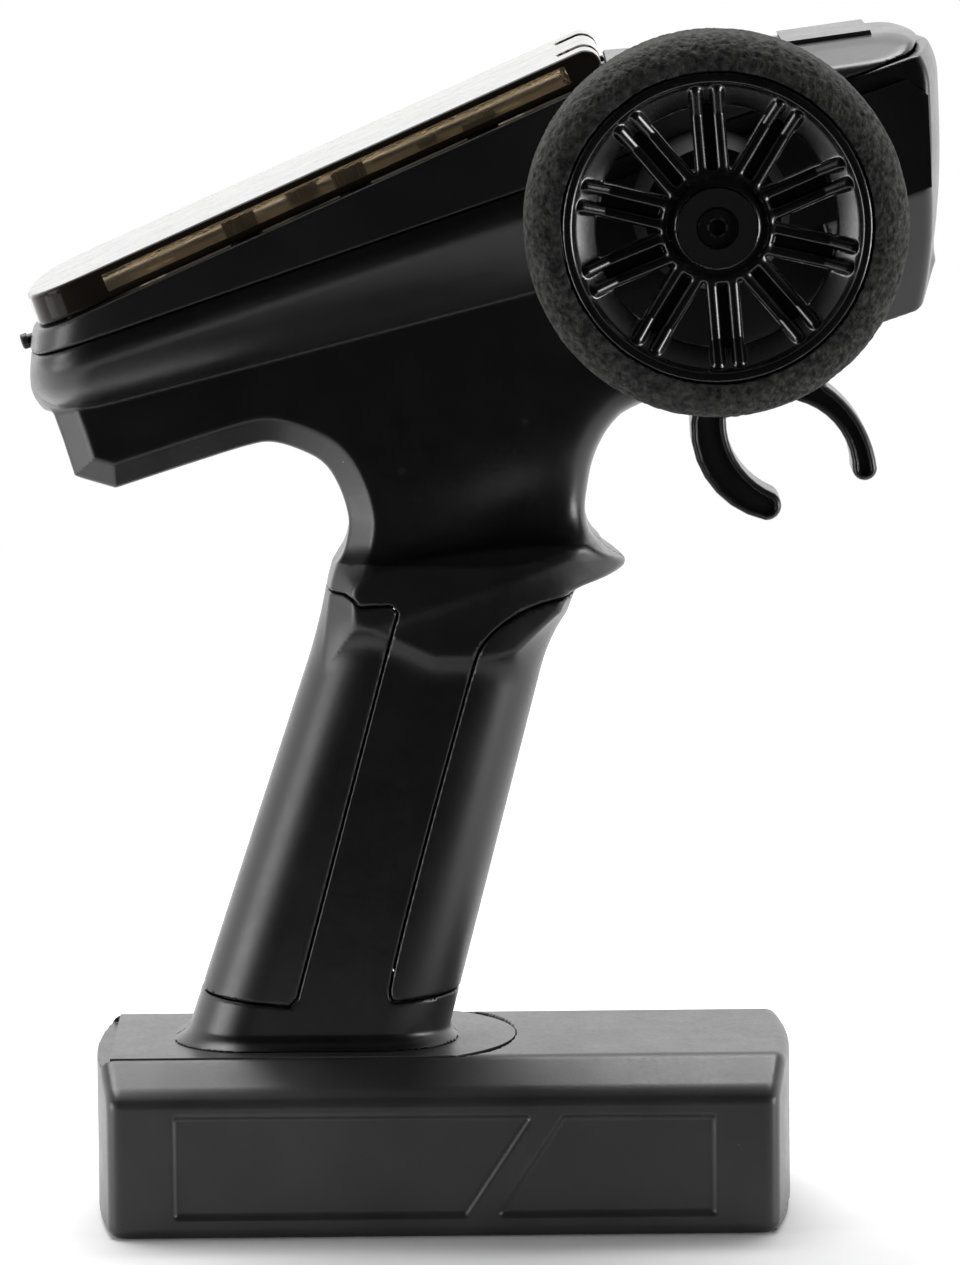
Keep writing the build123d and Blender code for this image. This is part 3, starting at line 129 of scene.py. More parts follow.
# ================================================================ materials
def plastic(name, color, roughness, grain, grain_size, blotch=0.2, mottle=18, dust=0.0, **settings):
    """Moulded plastic or rubber: fine grain, uneven gloss, colour changes, dust, and convex edges
    lightened as wear and as a painted highlight.

    grain is the bump's depth and grain_size its spacing, mottle the spacing of the colour changes,
    all in millimetres. blotch is the colour's share of change, and dust the brightness of specks.
    """
    material = bpy.data.materials.new(name)
    material.use_nodes = True
    nodes, links = material.node_tree.nodes, material.node_tree.links
    shader = nodes["Principled BSDF"]
    for socket, value in settings.items():
        shader.inputs[socket.replace("_", " ")].default_value = value
    place = nodes.new("ShaderNodeTexCoord")

    def noise_of(size, detail=2.0):
        node = nodes.new("ShaderNodeTexNoise")
        node.inputs["Scale"].default_value = 1 / (size * MM)
        node.inputs["Detail"].default_value = detail
        links.new(place.outputs["Object"], node.inputs["Vector"])
        return node.outputs["Fac"]

    def spread(value, low, high, start=0.3, end=0.7):
        node = nodes.new("ShaderNodeMapRange")
        node.inputs["From Min"].default_value = start
        node.inputs["From Max"].default_value = end
        node.inputs["To Min"].default_value = low
        node.inputs["To Max"].default_value = high
        links.new(value, node.inputs["Value"])
        return node.outputs["Result"]

    def mixed(factor, first, second):
        node = nodes.new("ShaderNodeMix")
        node.data_type = "RGBA"
        links.new(factor, node.inputs[0])
        for socket, value in ((node.inputs[6], first), (node.inputs[7], second)):
            if isinstance(value, tuple):
                socket.default_value = (*value, 1)
            else:
                links.new(value, socket)
        return node.outputs[2]

    dark = tuple(c * (1 - blotch) for c in color)
    light = tuple(c * (1 + blotch) + 0.002 for c in color)
    tint = mixed(spread(noise_of(mottle, 3), 0, 1), dark, light)
    edges = nodes.new("ShaderNodeNewGeometry")
    # Convex edges are lightened: partly wear, partly a painted edge highlight.
    wear_and_edge_highlight = spread(edges.outputs["Pointiness"], 0, 0.5, 0.53, 0.62)
    tint = mixed(wear_and_edge_highlight, tint, tuple(min(1, c * 1.6 + 0.015) for c in color))
    if dust:
        cells = nodes.new("ShaderNodeTexVoronoi")
        cells.inputs["Scale"].default_value = 1 / (11 * MM)
        links.new(place.outputs["Object"], cells.inputs["Vector"])
        speck = spread(cells.outputs["Distance"], dust, 0, 0.008, 0.02)
        tint = mixed(speck, tint, (0.45, 0.45, 0.44))
    links.new(tint, shader.inputs["Base Color"])
    gloss = nodes.new("ShaderNodeMath")
    gloss.operation = "ADD"
    links.new(spread(noise_of(6), roughness - 0.02, roughness + 0.02), gloss.inputs[0])
    links.new(spread(noise_of(0.9, 4), -0.03, 0.03), gloss.inputs[1])
    links.new(gloss.outputs[0], shader.inputs["Roughness"])
    bump = nodes.new("ShaderNodeBump")
    bump.inputs["Distance"].default_value = grain * MM
    bump.inputs["Strength"].default_value = 1
    links.new(noise_of(grain_size, 3), bump.inputs["Height"])
    links.new(bump.outputs["Normal"], shader.inputs["Normal"])
    return material


body_black = plastic("body_black", (0.0035, 0.0035, 0.0037), 0.33, 0.008, 0.5, dust=0.6)
base_black = plastic("base_black", (0.022, 0.022, 0.023), 0.36, 0.012, 0.5, dust=0.6)
grip_rubber = plastic("grip_rubber", (0.004, 0.004, 0.004), 0.36, 0.012, 0.35, dust=0.5)
cover_black = plastic("cover_black", (0.02, 0.02, 0.02), 0.34, 0.01, 0.5)
# Lighter copy of the body plastic for the upper case: painted light for the light its upright side
# band catches.
case_black_painted_light = plastic("case_black_painted_light", (0.014, 0.014, 0.0145), 0.33, 0.008, 0.5, dust=0.6)
gloss_black = plastic(
    "gloss_black", (0.003, 0.003, 0.0032), 0.24, 0.004, 0.8, Specular_IOR_Level=0.8
)
screw_black = plastic("screw_black", (0.01, 0.01, 0.01), 0.3, 0.006, 0.6, Metallic=0.6)
steel = plastic("steel", (0.55, 0.55, 0.55), 0.3, 0.004, 0.8, Metallic=1.0)
panel_black = plastic("panel_black", (0.02, 0.019, 0.018), 0.45, 0.02, 0.5)
knob_black = plastic("knob_black", (0.02, 0.02, 0.02), 0.4, 0.01, 0.5)
component = plastic("component", (0.03, 0.05, 0.09), 0.45, 0.01, 0.6)
board_green = plastic("board_green", (0.02, 0.12, 0.05), 0.4, 0.01, 0.8)
lamp_red = plastic("lamp_red", (0.5, 0.02, 0.02), 0.2, 0.002, 1.0)
lamp_green = plastic("lamp_green", (0.03, 0.4, 0.06), 0.2, 0.002, 1.0)
cell_wrap = plastic("cell_wrap", (0.25, 0.24, 0.2), 0.3, 0.004, 1.0)
contact_brass = plastic("contact_brass", (0.7, 0.5, 0.2), 0.3, 0.004, 0.8, Metallic=1.0)
lead_red = plastic("lead_red", (0.4, 0.02, 0.02), 0.45, 0.01, 0.6)
smoked = plastic(
    "smoked", (0.62, 0.50, 0.34), 0.12, 0.001, 1.5,
    Transmission_Weight=0.9, IOR=1.2,
)
foam = plastic(
    "foam", (0.036, 0.036, 0.035), 0.85, 0.5, 0.8, blotch=0.7, mottle=1.4, Specular_IOR_Level=0.2
)
by_slot = {
    "body_plastic": body_black, "base_plastic": base_black, "grip_rubber": grip_rubber,
    "smoked_plastic": smoked, "cover_plastic": cover_black, "foam": foam,
    "gloss_black": gloss_black, "black_screw": screw_black, "steel": steel,
    "panel_plastic": panel_black, "knob_plastic": knob_black,
    "component_plastic": component, "board_green": board_green, "lamp_red": lamp_red,
    "lamp_green": lamp_green, "cell_wrap": cell_wrap, "contact_brass": contact_brass,
    "lead_red": lead_red,
}
floor_paint = plastic("floor_paint", (0.86, 0.86, 0.86), 0.7, 0.01, 2.0, blotch=0.01)


LID_SLOPE = math.radians(23.7)
HINGE = centre_of("lid_hinge_pin")
WINDOW_HALF = 1.75
WINDOW_REACH = 29.8
WINDOW_CENTRE = 51.0
WINDOW_LENGTH = 95.0


def blacken_border(material):
    """Make the lid's plastic opaque black along its edges, round a clear strip in each side wall."""
    nodes, links = material.node_tree.nodes, material.node_tree.links
    shader = nodes["Principled BSDF"]
    place = nodes.new("ShaderNodeTexCoord").outputs["Object"]

    def joined(operation, *values):
        """Result of a math node on numbers and sockets."""
        node = nodes.new("ShaderNodeMath")
        node.operation = operation
        for socket, value in zip(node.inputs, values):
            if isinstance(value, float):
                socket.default_value = value
            else:
                links.new(value, socket)
        return node.outputs[0]

    def beyond(direction, centre, half):
        """One where a point lies further than half from a plane, else zero."""
        along = nodes.new("ShaderNodeVectorMath")
        along.operation = "DOT_PRODUCT"
        along.inputs[1].default_value = direction
        links.new(place, along.inputs[0])
        offset = joined("SUBTRACT", along.outputs["Value"], centre * MM)
        return joined("GREATER_THAN", joined("ABSOLUTE", offset), half * MM)

    rearward = Vector((-math.cos(LID_SLOPE), 0, -math.sin(LID_SLOPE)))
    up = Vector((-math.sin(LID_SLOPE), 0, math.cos(LID_SLOPE)))
    edge = beyond(up, HINGE.dot(up), WINDOW_HALF)
    ends = beyond(rearward, HINGE.dot(rearward) + WINDOW_CENTRE, WINDOW_LENGTH / 2)
    sides = beyond(Vector((0, 1, 0)), 0.0, WINDOW_REACH)
    opaque = joined("MAXIMUM", joined("MULTIPLY", edge, sides), ends)
    clear = shader.inputs["Transmission Weight"].default_value
    links.new(joined("MULTIPLY_ADD", opaque, -clear, clear), shader.inputs["Transmission Weight"])
    color = nodes.new("ShaderNodeMix")
    color.data_type = "RGBA"
    links.new(joined("MAXIMUM", edge, ends), color.inputs[0])
    links.new(shader.inputs["Base Color"].links[0].from_socket, color.inputs[6])
    color.inputs[7].default_value = (0.014, 0.011, 0.008, 1)
    links.new(color.outputs[2], shader.inputs["Base Color"])


blacken_border(smoked)


def dress(thing, material):
    """Give an object one material on all its faces."""
    thing.data.materials.clear()
    thing.data.materials.append(material)


for entry in frame["record"]["subparts"]:
    dress(frame["nodes"][entry["node"]], by_slot[entry["material_slot"]])

floor_data = bpy.data.meshes.new("floor")
floor_data.from_pydata([(-2, -0.16, 0), (2, -0.16, 0), (2, 1, 0), (-2, 1, 0)], [], [(0, 1, 2, 3)])
floor = bpy.data.objects.new("floor", floor_data)
bpy.context.scene.collection.objects.link(floor)
dress(floor, floor_paint)


# ================================================================ solids from distance fields
# Fields give a point's distance in millimetres outside a shape, and are negative inside it.
def soft_min(a, b, width):
    """Join of two shapes with a fillet about as wide as width."""
    near = np.maximum(width - np.abs(a - b), 0) / width
    return np.minimum(a, b) - near * near * width / 4


def soft_max(a, b, width):
    """Overlap of two shapes with a rounded edge."""
    return -soft_min(-a, -b, width)


def slab_between(value, low, high):
    """Distance from the space between two values."""
    return np.maximum(low - value, value - high)


def outline(points, a, b):
    """Distance from a closed outline in a plane."""
    best, inside = None, None
    for (a0, b0), (a1, b1) in zip(points, points[1:] + points[:1]):
        da, db = a1 - a0, b1 - b0
        share = np.clip(((a - a0) * da + (b - b0) * db) / (da * da + db * db), 0, 1)
        gap = (a - a0 - share * da) ** 2 + (b - b0 - share * db) ** 2
        crosses = ((b0 > b) != (b1 > b)) & (a < da * (b - b0) / (db or 1e-9) + a0)
        best = gap if best is None else np.minimum(best, gap)
        inside = crosses if inside is None else inside ^ crosses
    return np.where(inside, -1, 1) * np.sqrt(best)


def facets(points, a, b, edge):
    """Overlap of the half planes to the left of a chain of points, its edges rounded."""
    result = None
    for (a0, b0), (a1, b1) in zip(points, points[1:]):
        length = math.hypot(a1 - a0, b1 - b0)
        plane = ((a - a0) * (b1 - b0) - (b - b0) * (a1 - a0)) / length
        result = plane if result is None else soft_max(result, plane, edge)
    return result


def arc(first, middle, last, count=9):
    """Points on the arc through three points."""
    (ax, ay), (bx, by), (cx, cy) = first, middle, last
    d = 2 * (ax * (by - cy) + bx * (cy - ay) + cx * (ay - by))
    a2, b2, c2 = ax * ax + ay * ay, bx * bx + by * by, cx * cx + cy * cy
    ox = (a2 * (by - cy) + b2 * (cy - ay) + c2 * (ay - by)) / d
    oy = (a2 * (cx - bx) + b2 * (ax - cx) + c2 * (bx - ax)) / d
    start, mid, end = (math.atan2(y - oy, x - ox) for x, y in (first, middle, last))
    turn = (end - start) % math.tau
    if (mid - start) % math.tau > turn:
        turn -= math.tau
    radius = math.hypot(ax - ox, ay - oy)
    angles = [start + turn * i / count for i in range(count)]
    return [(ox + radius * math.cos(g), oy + radius * math.sin(g)) for g in angles]


def rounded(points):
    """A chain of points with its corners cut until it looks curved."""
    for _ in range(2):
        cut = [points[0]]
        for (a0, b0), (a1, b1) in zip(points, points[1:]):
            cut += [(a0 + (a1 - a0) * share, b0 + (b1 - b0) * share) for share in (0.25, 0.75)]
        points = cut + [points[-1]]
    return points


def slope_of(field, points, reach=0.15):
    """Gradient of a field at some points."""
    slope = np.empty_like(points)
    for axis in range(3):
        ahead, behind = points.copy(), points.copy()
        ahead[:, axis] += reach
        behind[:, axis] -= reach
        slope[:, axis] = (field(*ahead.T) - field(*behind.T)) / (2 * reach)
    return slope


def surface(field, low, high, step):
    """Vertices, quads and normals where a field is zero, from one vertex for each grid cell."""
    axes = [np.arange(a, b + step, step, dtype=np.float32) for a, b in zip(low, high)]
    x, y, z = np.ix_(*axes)
    values = np.broadcast_to(field(x, y, z), [len(a) for a in axes]).astype(np.float32)
    inside = values < 0
    corners = [(i, j, k) for i in (0, 1) for j in (0, 1) for k in (0, 1)]
    size = [n - 1 for n in inside.shape]

    def corner(array, i, j, k):
        return array[i:i + size[0], j:j + size[1], k:k + size[2]]

    count = sum(corner(inside, *c).astype(np.int8) for c in corners)
    cells = np.argwhere((count > 0) & (count < 8))
    number = np.full(size, -1, np.int32)
    number[tuple(cells.T)] = np.arange(len(cells))
    total = np.zeros((len(cells), 3))
    found = np.zeros(len(cells))
    for axis in range(3):
        along = np.eye(3, dtype=int)[axis]
        for start in (c for c in corners if not c[axis]):
            a = values[tuple((cells + start).T)]
            b = values[tuple((cells + start + along).T)]
            crossed = (a < 0) != (b < 0)
            share = np.where(crossed, a / np.where(crossed, a - b, 1), 0)
            total += crossed[:, None] * (np.array(start) + share[:, None] * along)
            found += crossed
    points = (cells + total / found[:, None]) * step + np.array([a[0] for a in axes])
    quads = []
    for axis in range(3):
        ends = [slice(1, -1)] * 3
        ends[axis] = slice(None, -1)
        beyond = list(ends)
        beyond[axis] = slice(1, None)
        starts_in, ends_in = inside[tuple(ends)], inside[tuple(beyond)]
        edges = np.argwhere(starts_in != ends_in)
        leaving = starts_in[tuple(edges.T)]
        edges[:, [a for a in range(3) if a != axis]] += 1
        side, up = np.eye(3, dtype=int)[(axis + 1) % 3], np.eye(3, dtype=int)[(axis + 2) % 3]
        ring = [edges - side - up, edges - up, edges, edges - side]
        quad = np.stack([number[tuple(c.T)] for c in ring], 1)
        quads.append(np.where(leaving[:, None], quad, quad[:, ::-1]))
    for _ in range(3):
        slope = slope_of(field, points)
        off = field(*points.T) / np.maximum((slope * slope).sum(1), 0.05)
        points -= np.clip(off, -step / 2, step / 2)[:, None] * slope
    slope = slope_of(field, points)
    normals = slope / np.maximum(np.linalg.norm(slope, axis=1), 1e-6)[:, None]
    return points, np.concatenate(quads), normals


def piece(name, shape, body, slot, replaced, mirror=False):
    """Add a mesh to the scene as a named piece that stands for CAD nodes."""
    points, quads, normals = shape
    if mirror:
        points, normals = points * (1, -1, 1), normals * (1, -1, 1)
        quads = quads[:, ::-1]
    mesh = bpy.data.meshes.new(name)
    mesh.vertices.add(len(points))
    mesh.vertices.foreach_set("co", (points * MM).astype(np.float32).ravel())
    mesh.loops.add(quads.size)
    mesh.loops.foreach_set("vertex_index", quads.astype(np.int32).ravel())
    mesh.polygons.add(len(quads))
    mesh.polygons.foreach_set("loop_start", np.arange(0, quads.size, 4, dtype=np.int32))
    mesh.polygons.foreach_set("use_smooth", np.ones(len(quads), bool))
    mesh.update(calc_edges=True)
    if normals is not None:
        mesh.normals_split_custom_set_from_vertices(normals.astype(np.float32))
    thing = bpy.data.objects.new(name, mesh)
    bpy.context.scene.collection.objects.link(thing)
    dress(thing, by_slot[slot])
    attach(thing, body)
    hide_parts(*replaced)
    return thing


# ================================================================ body
HEAD_ORIGIN = (2.0, 122.0)
HEAD_SLOPE = math.radians(18.6)
HEAD_HALF = 33.0
WEB_HALF = 16.5
SEAM = 68.1
RIDGE = 64.4
CORNER = 11.0
REAR_BOW = 4.6
FRONT_BOW = 3.4
FLANK_BULGE = -1.3
BLOCK_LOW = 22.5
BLOCK_HIGH = 44
BLOCK_REAR = 90
BLOCK_FLOOR = 20.9
CHAMFER = 5.0
NECK_ROUND = 8.0
WAIST_DEPTH = 3.4
WALL = 2.4
PAD_THICKNESS = 2.6
PANEL_DEPTH = 0.5
AXLE_HOLE = 9.3
AXLE_HOLE_DEPTH = 12
SCREW_POCKET = 3.1
SCREW_POCKET_DEPTH = 12.8
PAD_GAP = 0.16
BASE_TOP = 33.1
GRIP_HEIGHT = 88.9
GRIP_LEAN = math.tan(math.radians(16.6))
GRIP_FOOT = -24.5
GRIP_DEPTH = 50.4
GRIP_TAPER = 6.4
GRIP_CORNER = 13.0
GRIP_TOP = 124
FLARE = 2.6
FLARE_HEIGHT = 3.0
HOOK_HALF = 17.3
HOOK_REACH = 15.9
HOOK_START = 20.5
HOOK_TAPER = 0.13
HOOK_TAPER_TOP = 127
WHEEL = centre_of("wheel_tyre")
REAR_POINTS = [(-58.9, 72.1), (-61.1, 67.7), (-63.2, 62.4), (-63.4, 58.4), (-61.6, 52.8), (-56, 44)]
FRONT_POINTS = [
    (103.3, 21.7), (107.8, 28.3), (110.2, 33.8), (113.6, 40.8), (117.8, 53.8), (120.7, 64.7),
    (119.5, 69.6),
]
CHIN = [(-60.2, 66), (-60.1, 50.5), (-60.3, 43.2), (-58.9, 42.1), (-53.7, 38.4)]
CHIN += rounded([
    (-40, 38.2), (-26.1, 37.9), (-22.3, 37.0), (-18.0, 33.8), (-14.4, 30.0), (-13.3, 24.5),
    (-13.5, 19.2), (-14.3, 16.7), (-16.2, 13.4), (-20.9, 6.8), (-26, -6),
]) + [(200, -6), (200, 66)]
NECK_FRONT = [(-200, 66), (-200, -6)] + rounded([
    (27.0, -6), (28.2, -1.5), (28.6, 1.9), (29.3, 5.4), (31.2, 9.1), (33.1, 12.6), (35.6, 15.8),
    (38.9, 18.7), (43.3, 20.9), (60, 20.9),
]) + [(102.3, 20.9), (107.8, 28.3), (112, 66)]
HOOK = [
    (-14.8, 121.4), (-11.2, 123.6), (-7.2, 125.1), (-2.6, 126.7), (2.3, 127.9), (8.0, 128.9),
    (13.8, 129.5), (19.0, 129.7), (24.0, 129.3), (29.8, 128.2), (33.4, 127.0), (36.2, 125.6),
    (36.0, 124.4), (32.0, 123.2), (27.5, 122.2), (24.7, 121.3), (22.8, 117.5), (14, 112),
    (0, 112), (-14, 118),
]
REAR_PAD = [
    (-60, 122), (-17.6, 121), (-16.0, 120.1), (-14.9, 118.8), (-9.0, 119.1), (-7.7, 117.7),
    (-27.8, 43.0), (-29.2, 41.5), (-46.2, 43.2), (-60, 43.6),
]
FRONT_PAD = rounded([
    (30, 121.5), (21.4, 119.4), (17.8, 118.4), (14.7, 116.9), (11.4, 114.7), (9.0, 112.2),
    (7.5, 109.9), (6.7, 107.4), (-2.8, 73.8), (-10.0, 46.2), (-10.0, 42.4), (-7.9, 42.2),
    (1.2, 43.1), (12, 43.6), (30, 44.5),
])
SIDE_PANEL = [
    (104.2, 64.4), (112.6, 63.3), (114.6, 61.9), (115.0, 60.0), (110.6, 44.8), (106.0, 45.2),
]
CASE_SCREWS = [(-47.0, 46.0), (6.0, 25.0), (94.0, 25.6)]
GRIP_SCREWS = (14.0, 64.0)
TRIGGER_SLOT = (46, 84)


def to_head(x, z):
    """Distances along and above the head's axis."""
    dx, dz = x - HEAD_ORIGIN[0], z - HEAD_ORIGIN[1]
    c, s = math.cos(HEAD_SLOPE), math.sin(HEAD_SLOPE)
    return dx * c + dz * s, dz * c - dx * s


def flank(wide, v, low_half, low, high_half, high, hollow):
    """Face from one edge low and near the middle to one high and far out, hollow or bulging."""
    run, rise = high_half - low_half, high - low
    length = np.hypot(run, rise)
    share = np.clip(((wide - low_half) * run + (v - low) * rise) / length ** 2, 0, 1)
    return ((wide - low_half) * rise - (v - low) * run) / length + hollow * 4 * share * (1 - share)


def head(wide, u, v, inset):
    """The head under the seam: flanks, upright band and faceted ends."""
    low = 55.4 - 0.0775 * (u + 58.6) + inset
    bow = (wide / HEAD_HALF) ** 2
    rear = facets(REAR_POINTS, u - inset - REAR_BOW * bow, v, 1.2)
    front = facets(FRONT_POINTS, u + inset + FRONT_BOW * bow, v, 1.6)
    upper = flank(wide, v, 17.0 - inset, low, HEAD_HALF - inset, RIDGE, FLANK_BULGE)
    band = wide - HEAD_HALF + inset
    main = soft_max(soft_max(soft_max(upper, band, 1.6), rear, CORNER), low - v, 1.2)
    block = flank(wide, v, WEB_HALF - inset, BLOCK_LOW + inset, HEAD_HALF - inset, BLOCK_HIGH, 0)
    block = soft_max(block, band, 1.0)
    block = np.maximum(block, BLOCK_REAR + inset - u)
    block = np.maximum(block, BLOCK_FLOOR + inset - v)
    shape = np.minimum(main, block)
    return soft_max(shape, front, 1.4)


def web(wide, u, v, inset):
    """Chin, neck and trigger housing: chamfered behind, well rounded in front, with a waist."""
    waist = WAIST_DEPTH * np.exp(-(((u - 16) / 17) ** 2) - ((v - 9) / 9) ** 2)
    side = wide - WEB_HALF + waist + inset
    rear = outline(CHIN, u, v) + inset
    rear = soft_max(soft_max(rear, side, 0.5), (rear + side + CHAMFER) / math.sqrt(2), 0.6)
    return soft_max(rear, outline(NECK_FRONT, u, v) + inset, NECK_ROUND)


def grip(x, wide, z, inset):
    """The leaning grip with a small flare at its foot."""
    height = z - BASE_TOP
    depth = GRIP_DEPTH - GRIP_TAPER * height / GRIP_HEIGHT
    flare = FLARE * np.clip(1 - height / FLARE_HEIGHT, 0, 1) ** 2
    a = np.abs(x - GRIP_FOOT - height * GRIP_LEAN) - depth / 2 + GRIP_CORNER
    b = wide - WEB_HALF + GRIP_CORNER
    ring = np.hypot(np.maximum(a, 0), np.maximum(b, 0)) + np.minimum(np.maximum(a, b), 0)
    shape = (ring - GRIP_CORNER - flare + inset) * 0.97
    return np.maximum(shape, np.maximum(z - GRIP_TOP, BASE_TOP - z))


def hook(x, wide, z, inset):
    """The finger hook: a ledge with a crisp upper rim that ends in a rounded tip."""
    reach = np.maximum(x - HOOK_START, 0)
    plan = np.hypot(reach * HOOK_HALF / HOOK_REACH, wide) - HOOK_HALF
    plan = plan + HOOK_TAPER * np.maximum(HOOK_TAPER_TOP - z, 0)
    return soft_max(outline(HOOK, x, z), plan, 1.2) + inset


def form(x, y, z, inset=0.0):
    """The whole body under the seam, or its inside at an inset."""
    u, v = to_head(x, z)
    wide = np.abs(y)
    shape = soft_min(grip(x, wide, z, inset), hook(x, wide, z, inset), 9.0)
    shape = soft_min(shape, web(wide, u, v, inset), 5.0)
    return soft_min(shape, head(wide, u, v, inset), 0.8)


def shell(x, y, z, far=False):
    """One half of the hollow body, on the -Y side. The far half has screws and no axle hole."""
    u, v = to_head(x, z)
    outer = soft_max(form(x, y, z), v - SEAM, 0.8)
    panel = np.maximum(outline(SIDE_PANEL, u, v), HEAD_HALF - PANEL_DEPTH - np.abs(y))
    outer = soft_max(outer, -panel, 0.3)
    inner = form(x, y, z, WALL)
    slot = np.maximum(slab_between(u, *TRIGGER_SLOT), np.maximum(v - 48, np.abs(y) - 7.7))
    solid = np.maximum(outer, -np.minimum(inner, slot))
    for points in (REAR_PAD, FRONT_PAD):
        solid = soft_max(solid, PAD_GAP - outline(points, x, z), 0.5)
    if not far:
        axle = np.hypot(x - WHEEL.x, z - WHEEL.z) - AXLE_HOLE
        solid = np.maximum(solid, -np.maximum(axle, y + AXLE_HOLE_DEPTH))
        return np.maximum(solid, y + 0.05)
    places = [(u - a, v - b) for a, b in CASE_SCREWS]
    places += [(x - GRIP_FOOT - h * GRIP_LEAN, z - BASE_TOP - h) for h in GRIP_SCREWS]
    for a, b in places:
        pocket = np.maximum(np.hypot(a, b) - SCREW_POCKET, y + SCREW_POCKET_DEPTH)
        solid = soft_max(solid, -pocket, 0.4)
    return np.maximum(solid, y + 0.05)


def pad(points):
    """Field of a rubber pad that wraps round the grip."""
    def field(x, y, z):
        outer = form(x, y, z)
        cut = soft_max(outer, outline(points, x, z) + PAD_GAP, 0.5)
        return np.maximum(cut, -outer - PAD_THICKNESS)
    return field


FINE = 0.62
body_low, body_high = (-82, -34.4, BASE_TOP - 1), (100, 1, 226)
right = surface(shell, body_low, body_high, FINE)
left = surface(lambda x, y, z: shell(x, y, z, True), body_low, body_high, FINE)
piece("right_body", right, "chassis", "body_plastic", ["right_body_shell"])
piece("left_body", left, "chassis", "body_plastic", ["left_body_shell"], mirror=True)
rear_pad = surface(pad(REAR_PAD), (-54, -20, 40), (-4, 20, 124), FINE)
front_pad = surface(pad(FRONT_PAD), (-14, -20, 40), (32, 20, 124), FINE)
piece("rear_pad", rear_pad, "chassis", "grip_rubber", ["rear_grip_pad"])
piece("front_pad", front_pad, "chassis", "grip_rubber", ["front_grip_pad"])

# ================================================================ upper case and lid
HINGE_HEAD = (57.0, 86.2)
LID_HALF = 3.1
LID_HALF_WIDTH = 32.1
HUMP_REAR = 60.7
HUMP = [(93.6, 76.6), (109.8, 73.4), (118.2, 71.4)]
HUMP_BACK_TOP = 85.0
HUMP_FLOOR = 68.7
HUMP_FLAT = 20
HUMP_BEVEL = (13, 4.6)
SEAM_GAP = 0.14
RIM_DROP = 3.41
RIM_STEP = 1.2
LUG_OFFSET = 17.0
LUG_HALF = 3.0
LUG_RADIUS = 2.05
PIN_HOLE = 1.06
BUTTON_HOLE = (69.7, 1.2)
LID_REAR = -54.0
LID_BOW = 3.6
LID_WALL = 1.8
LID_INSIDE = 1.5
LID_NOSE = 4.2
NOTCH_HALF = 3.3
NOTCH_REACH = 3.8


def rim_line(u, drop=0.0):
    """Height of the upper case's rim under the lid."""
    return HINGE_HEAD[1] - RIM_DROP - drop - (HINGE_HEAD[0] - u) * math.tan(LID_SLOPE - HEAD_SLOPE)


UPPER = [
    (-80, SEAM + SEAM_GAP), (-80, rim_line(-80)), (HUMP_REAR, rim_line(HUMP_REAR)),
    (HUMP_REAR, HUMP_BACK_TOP), *HUMP, (126, 69.5), (126, SEAM + SEAM_GAP),
]
UPPER_INSIDE = [
    (-80, SEAM - 2), (-80, rim_line(-80, RIM_STEP)), (-50, rim_line(-50, RIM_STEP)), (-50, 99),
    (HUMP_REAR, 99), (HUMP_REAR, HUMP_FLOOR), (HUMP_REAR + WALL, HUMP_FLOOR),
    (HUMP_REAR + WALL, HUMP_BACK_TOP - WALL),
    *[(u, v - WALL) for u, v in HUMP], (126, SEAM - 2),
]
LUG = [
    (55.45, 86.2), (55.45, 71.1), (HUMP_REAR, 71.1), (HUMP_REAR, 82.5), (58.55, 83.1), (58.55, 86.2),
]


def upper_case(x, y, z):
    """The case over the seam: sloping rim under the lid and a bevelled hump at the front."""
    u, v = to_head(x, z)
    wide = np.abs(y)
    bow = (wide / HEAD_HALF) ** 2
    rear = facets([(-56.9, 76.1), (-61.1, 67.7)], u - REAR_BOW * bow, v, 1)
    front = facets([(120.7, 64.7), (118.6, 70.6), (116.2, 73.4)], u + FRONT_BOW * bow, v, 2.5)
    side = soft_max(wide - HEAD_HALF, rear, CORNER)
    top = np.interp(u, *np.array([(HUMP_REAR, HUMP_BACK_TOP), *HUMP]).T)
    across, drop = HUMP_BEVEL
    bevel = ((wide - HUMP_FLAT) * drop + (v - top) * across) / 13.8
    bevel = np.where(u > HUMP_REAR, bevel, -9)
    outer = soft_max(soft_max(outline(UPPER, u, v), side, 0.9), front, 3.0)
    outer = soft_max(outer, bevel, 1.6)
    inner = np.maximum(np.maximum(side, front), bevel) + WALL
    inner = np.maximum(inner, outline(UPPER_INSIDE, u, v))
    solid = np.maximum(outer, -inner)
    from_pin = np.hypot(u - HINGE_HEAD[0], v - HINGE_HEAD[1])
    lug = np.minimum(outline(LUG, u, v), from_pin - LUG_RADIUS)
    lug = np.maximum(lug, np.abs(wide - LUG_OFFSET) - LUG_HALF)
    solid = np.maximum(np.minimum(solid, lug), PIN_HOLE - from_pin)
    button_height, button_radius = BUTTON_HOLE
    button = np.maximum(np.hypot(y, v - button_height) - button_radius, u + 50)
    return np.maximum(solid, -button)


upper_shape = surface(upper_case, (-82, -34.2, 160), (100, 34.2, 228), FINE)
upper_shell = piece("upper_shell", upper_shape, "chassis", "body_plastic", ["upper_case"])
# The upper case gets the lighter copy of the body plastic: painted light on its side band.
dress(upper_shell, case_black_painted_light)


